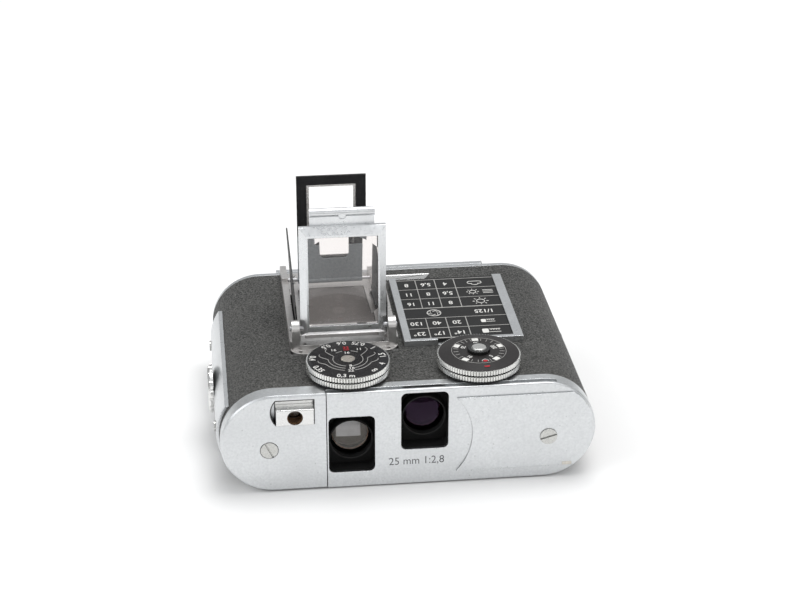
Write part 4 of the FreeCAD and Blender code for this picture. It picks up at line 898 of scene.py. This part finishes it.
def make_tray_details():
    """A leaf spring at the rear left of the finder tray and dark linings along the rails."""
    low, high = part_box("finder_tray")
    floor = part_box("ground_glass")[1].z + 0.1 * MM
    size = (0.12 * MM, 20.0 * MM, 0.9 * MM)
    linings = [block((x, 5.0 * MM, floor + 0.45 * MM), size, 0.05 * MM, 2)
               for x in (low.x + 1.28 * MM, high.x - 1.28 * MM)]
    finished("rail_linings", linings, MATT_BLACK, "root")
    start = Vector((low.x + 2.6 * MM, 19.4 * MM, floor + 0.08 * MM))
    length, rise, sway = 3.0 * MM, 0.7 * MM, 0.25 * MM
    points = []
    for i in range(13):
        bend = rise * math.sin(math.pi * i / 12)
        points.append(start + Vector((sway * math.sin(i / 3), length - length * i / 12, bend)))
    spring = stroke(points, 0.14 * MM)
    finished("tray_leaf_spring", [smooth(spring)], BRIGHT_CHROME, "root")


def make_release_coil():
    """The coil spring behind the release button, in place of the frame's stack of rings."""
    low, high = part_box("release_spring")
    centre = (low + high) / 2
    radius, wire, turns = (high.z - low.z) / 2 - 0.2 * MM, 0.17 * MM, 6
    steps = 20  # in a turn
    points = []
    for i in range(turns * steps + 1):
        angle = math.tau * i / steps
        y = low.y + 0.2 * MM + (high.y - low.y - 0.4 * MM) * i / (turns * steps)
        points.append((centre.x + radius * math.cos(angle), y, centre.z + radius * math.sin(angle)))
    coil = finished("release_coil", [smooth(stroke(points, wire))], STEEL, "root")
    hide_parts("release_spring")


make_focus_engraving()
make_speed_engraving()
make_table_engraving()
make_front_engraving()
make_painted_seam_shade()
make_sight_leaf()
make_badge()
make_flash_contact()
make_socket_thread()
make_lens_reflections()
make_tray_details()
make_release_coil()

# ---- stage, light and camera ------------------------------------------------------------------------


def make_floor():
    """A pale, flat table."""
    deselect()
    bpy.ops.mesh.primitive_plane_add(size=6.0, location=(0, 1.2, -0.0002))
    floor = bpy.context.object
    floor.name = "floor"
    made, tree, shader = new_material("paper", Specular_IOR_Level=0.15)
    tone = ramp(tree, noise(tree, 14.0, 3.0), 0.2, 0.8)
    tree.links.new(mixed(tree, tone, (0.905, 0.9, 0.893), (0.925, 0.92, 0.915)), shader.inputs["Base Color"])
    shader.inputs["Roughness"].default_value = 0.7
    floor.data.materials.append(made)


def make_light(name, place, aim, size, power, colour=(1.0, 1.0, 1.0)):
    """An oblong lamp that looks at a point."""
    data = bpy.data.lights.new(name, "AREA")
    data.shape = "RECTANGLE"
    data.size, data.size_y = size
    data.energy = power
    data.color = colour
    light = bpy.data.objects.new(name, data)
    light.location = place
    light.rotation_euler = (Vector(aim) - Vector(place)).to_track_quat("-Z", "Y").to_euler()
    bpy.context.scene.collection.objects.link(light)


def make_world():
    """A grey studio, brighter overhead and dimmer low in front."""
    world = bpy.data.worlds.new("studio")
    bpy.context.scene.world = world
    world.use_nodes = True
    tree = world.node_tree
    split = add(tree, "SeparateXYZ")
    tree.links.new(add(tree, "TexCoord").outputs["Generated"], split.inputs["Vector"])
    height = ramp(tree, split.outputs["Z"], -0.1, 0.7)
    toward_front = ramp(tree, split.outputs["Y"], -0.3, -1.0)
    dim = maths(tree, "MULTIPLY", toward_front, maths(tree, "SUBTRACT", 1.0, height))
    tone = mixed(tree, height, (0.33, 0.33, 0.33), (0.62, 0.63, 0.64))
    tone = mixed(tree, dim, tone, (0.2, 0.2, 0.2))
    tree.links.new(tone, tree.nodes["Background"].inputs["Color"])


def make_camera():
    """The view from the front, a little left and above."""
    data = bpy.data.cameras.new("camera")
    data.sensor_width = 36.0
    data.lens = 88.06
    data.clip_start, data.clip_end = 0.01, 20.0
    camera = bpy.data.objects.new("camera", data)
    camera.location = (-34.57 * MM, -310.3 * MM, 173.78 * MM)
    camera.rotation_euler = (math.radians(90.0 - 25.53), 0.0, math.radians(-6.31))
    bpy.context.scene.collection.objects.link(camera)
    bpy.context.scene.camera = camera


make_floor()
make_world()
make_light("overhead", (0.12, 0.12, 0.75), (0, 0, 0), (0.55, 0.45), 3.6)
make_light("left_box", (-0.6, -0.2, 0.45), (0, 0, 0.01), (0.45, 0.6), 1.3, (0.97, 0.985, 1.0))
make_light("front_fill", (0.25, -0.8, 0.4), (0, 0, 0.01), (0.8, 0.35), 0.9)
make_camera()
bpy.context.scene.view_settings.view_transform = "Standard"
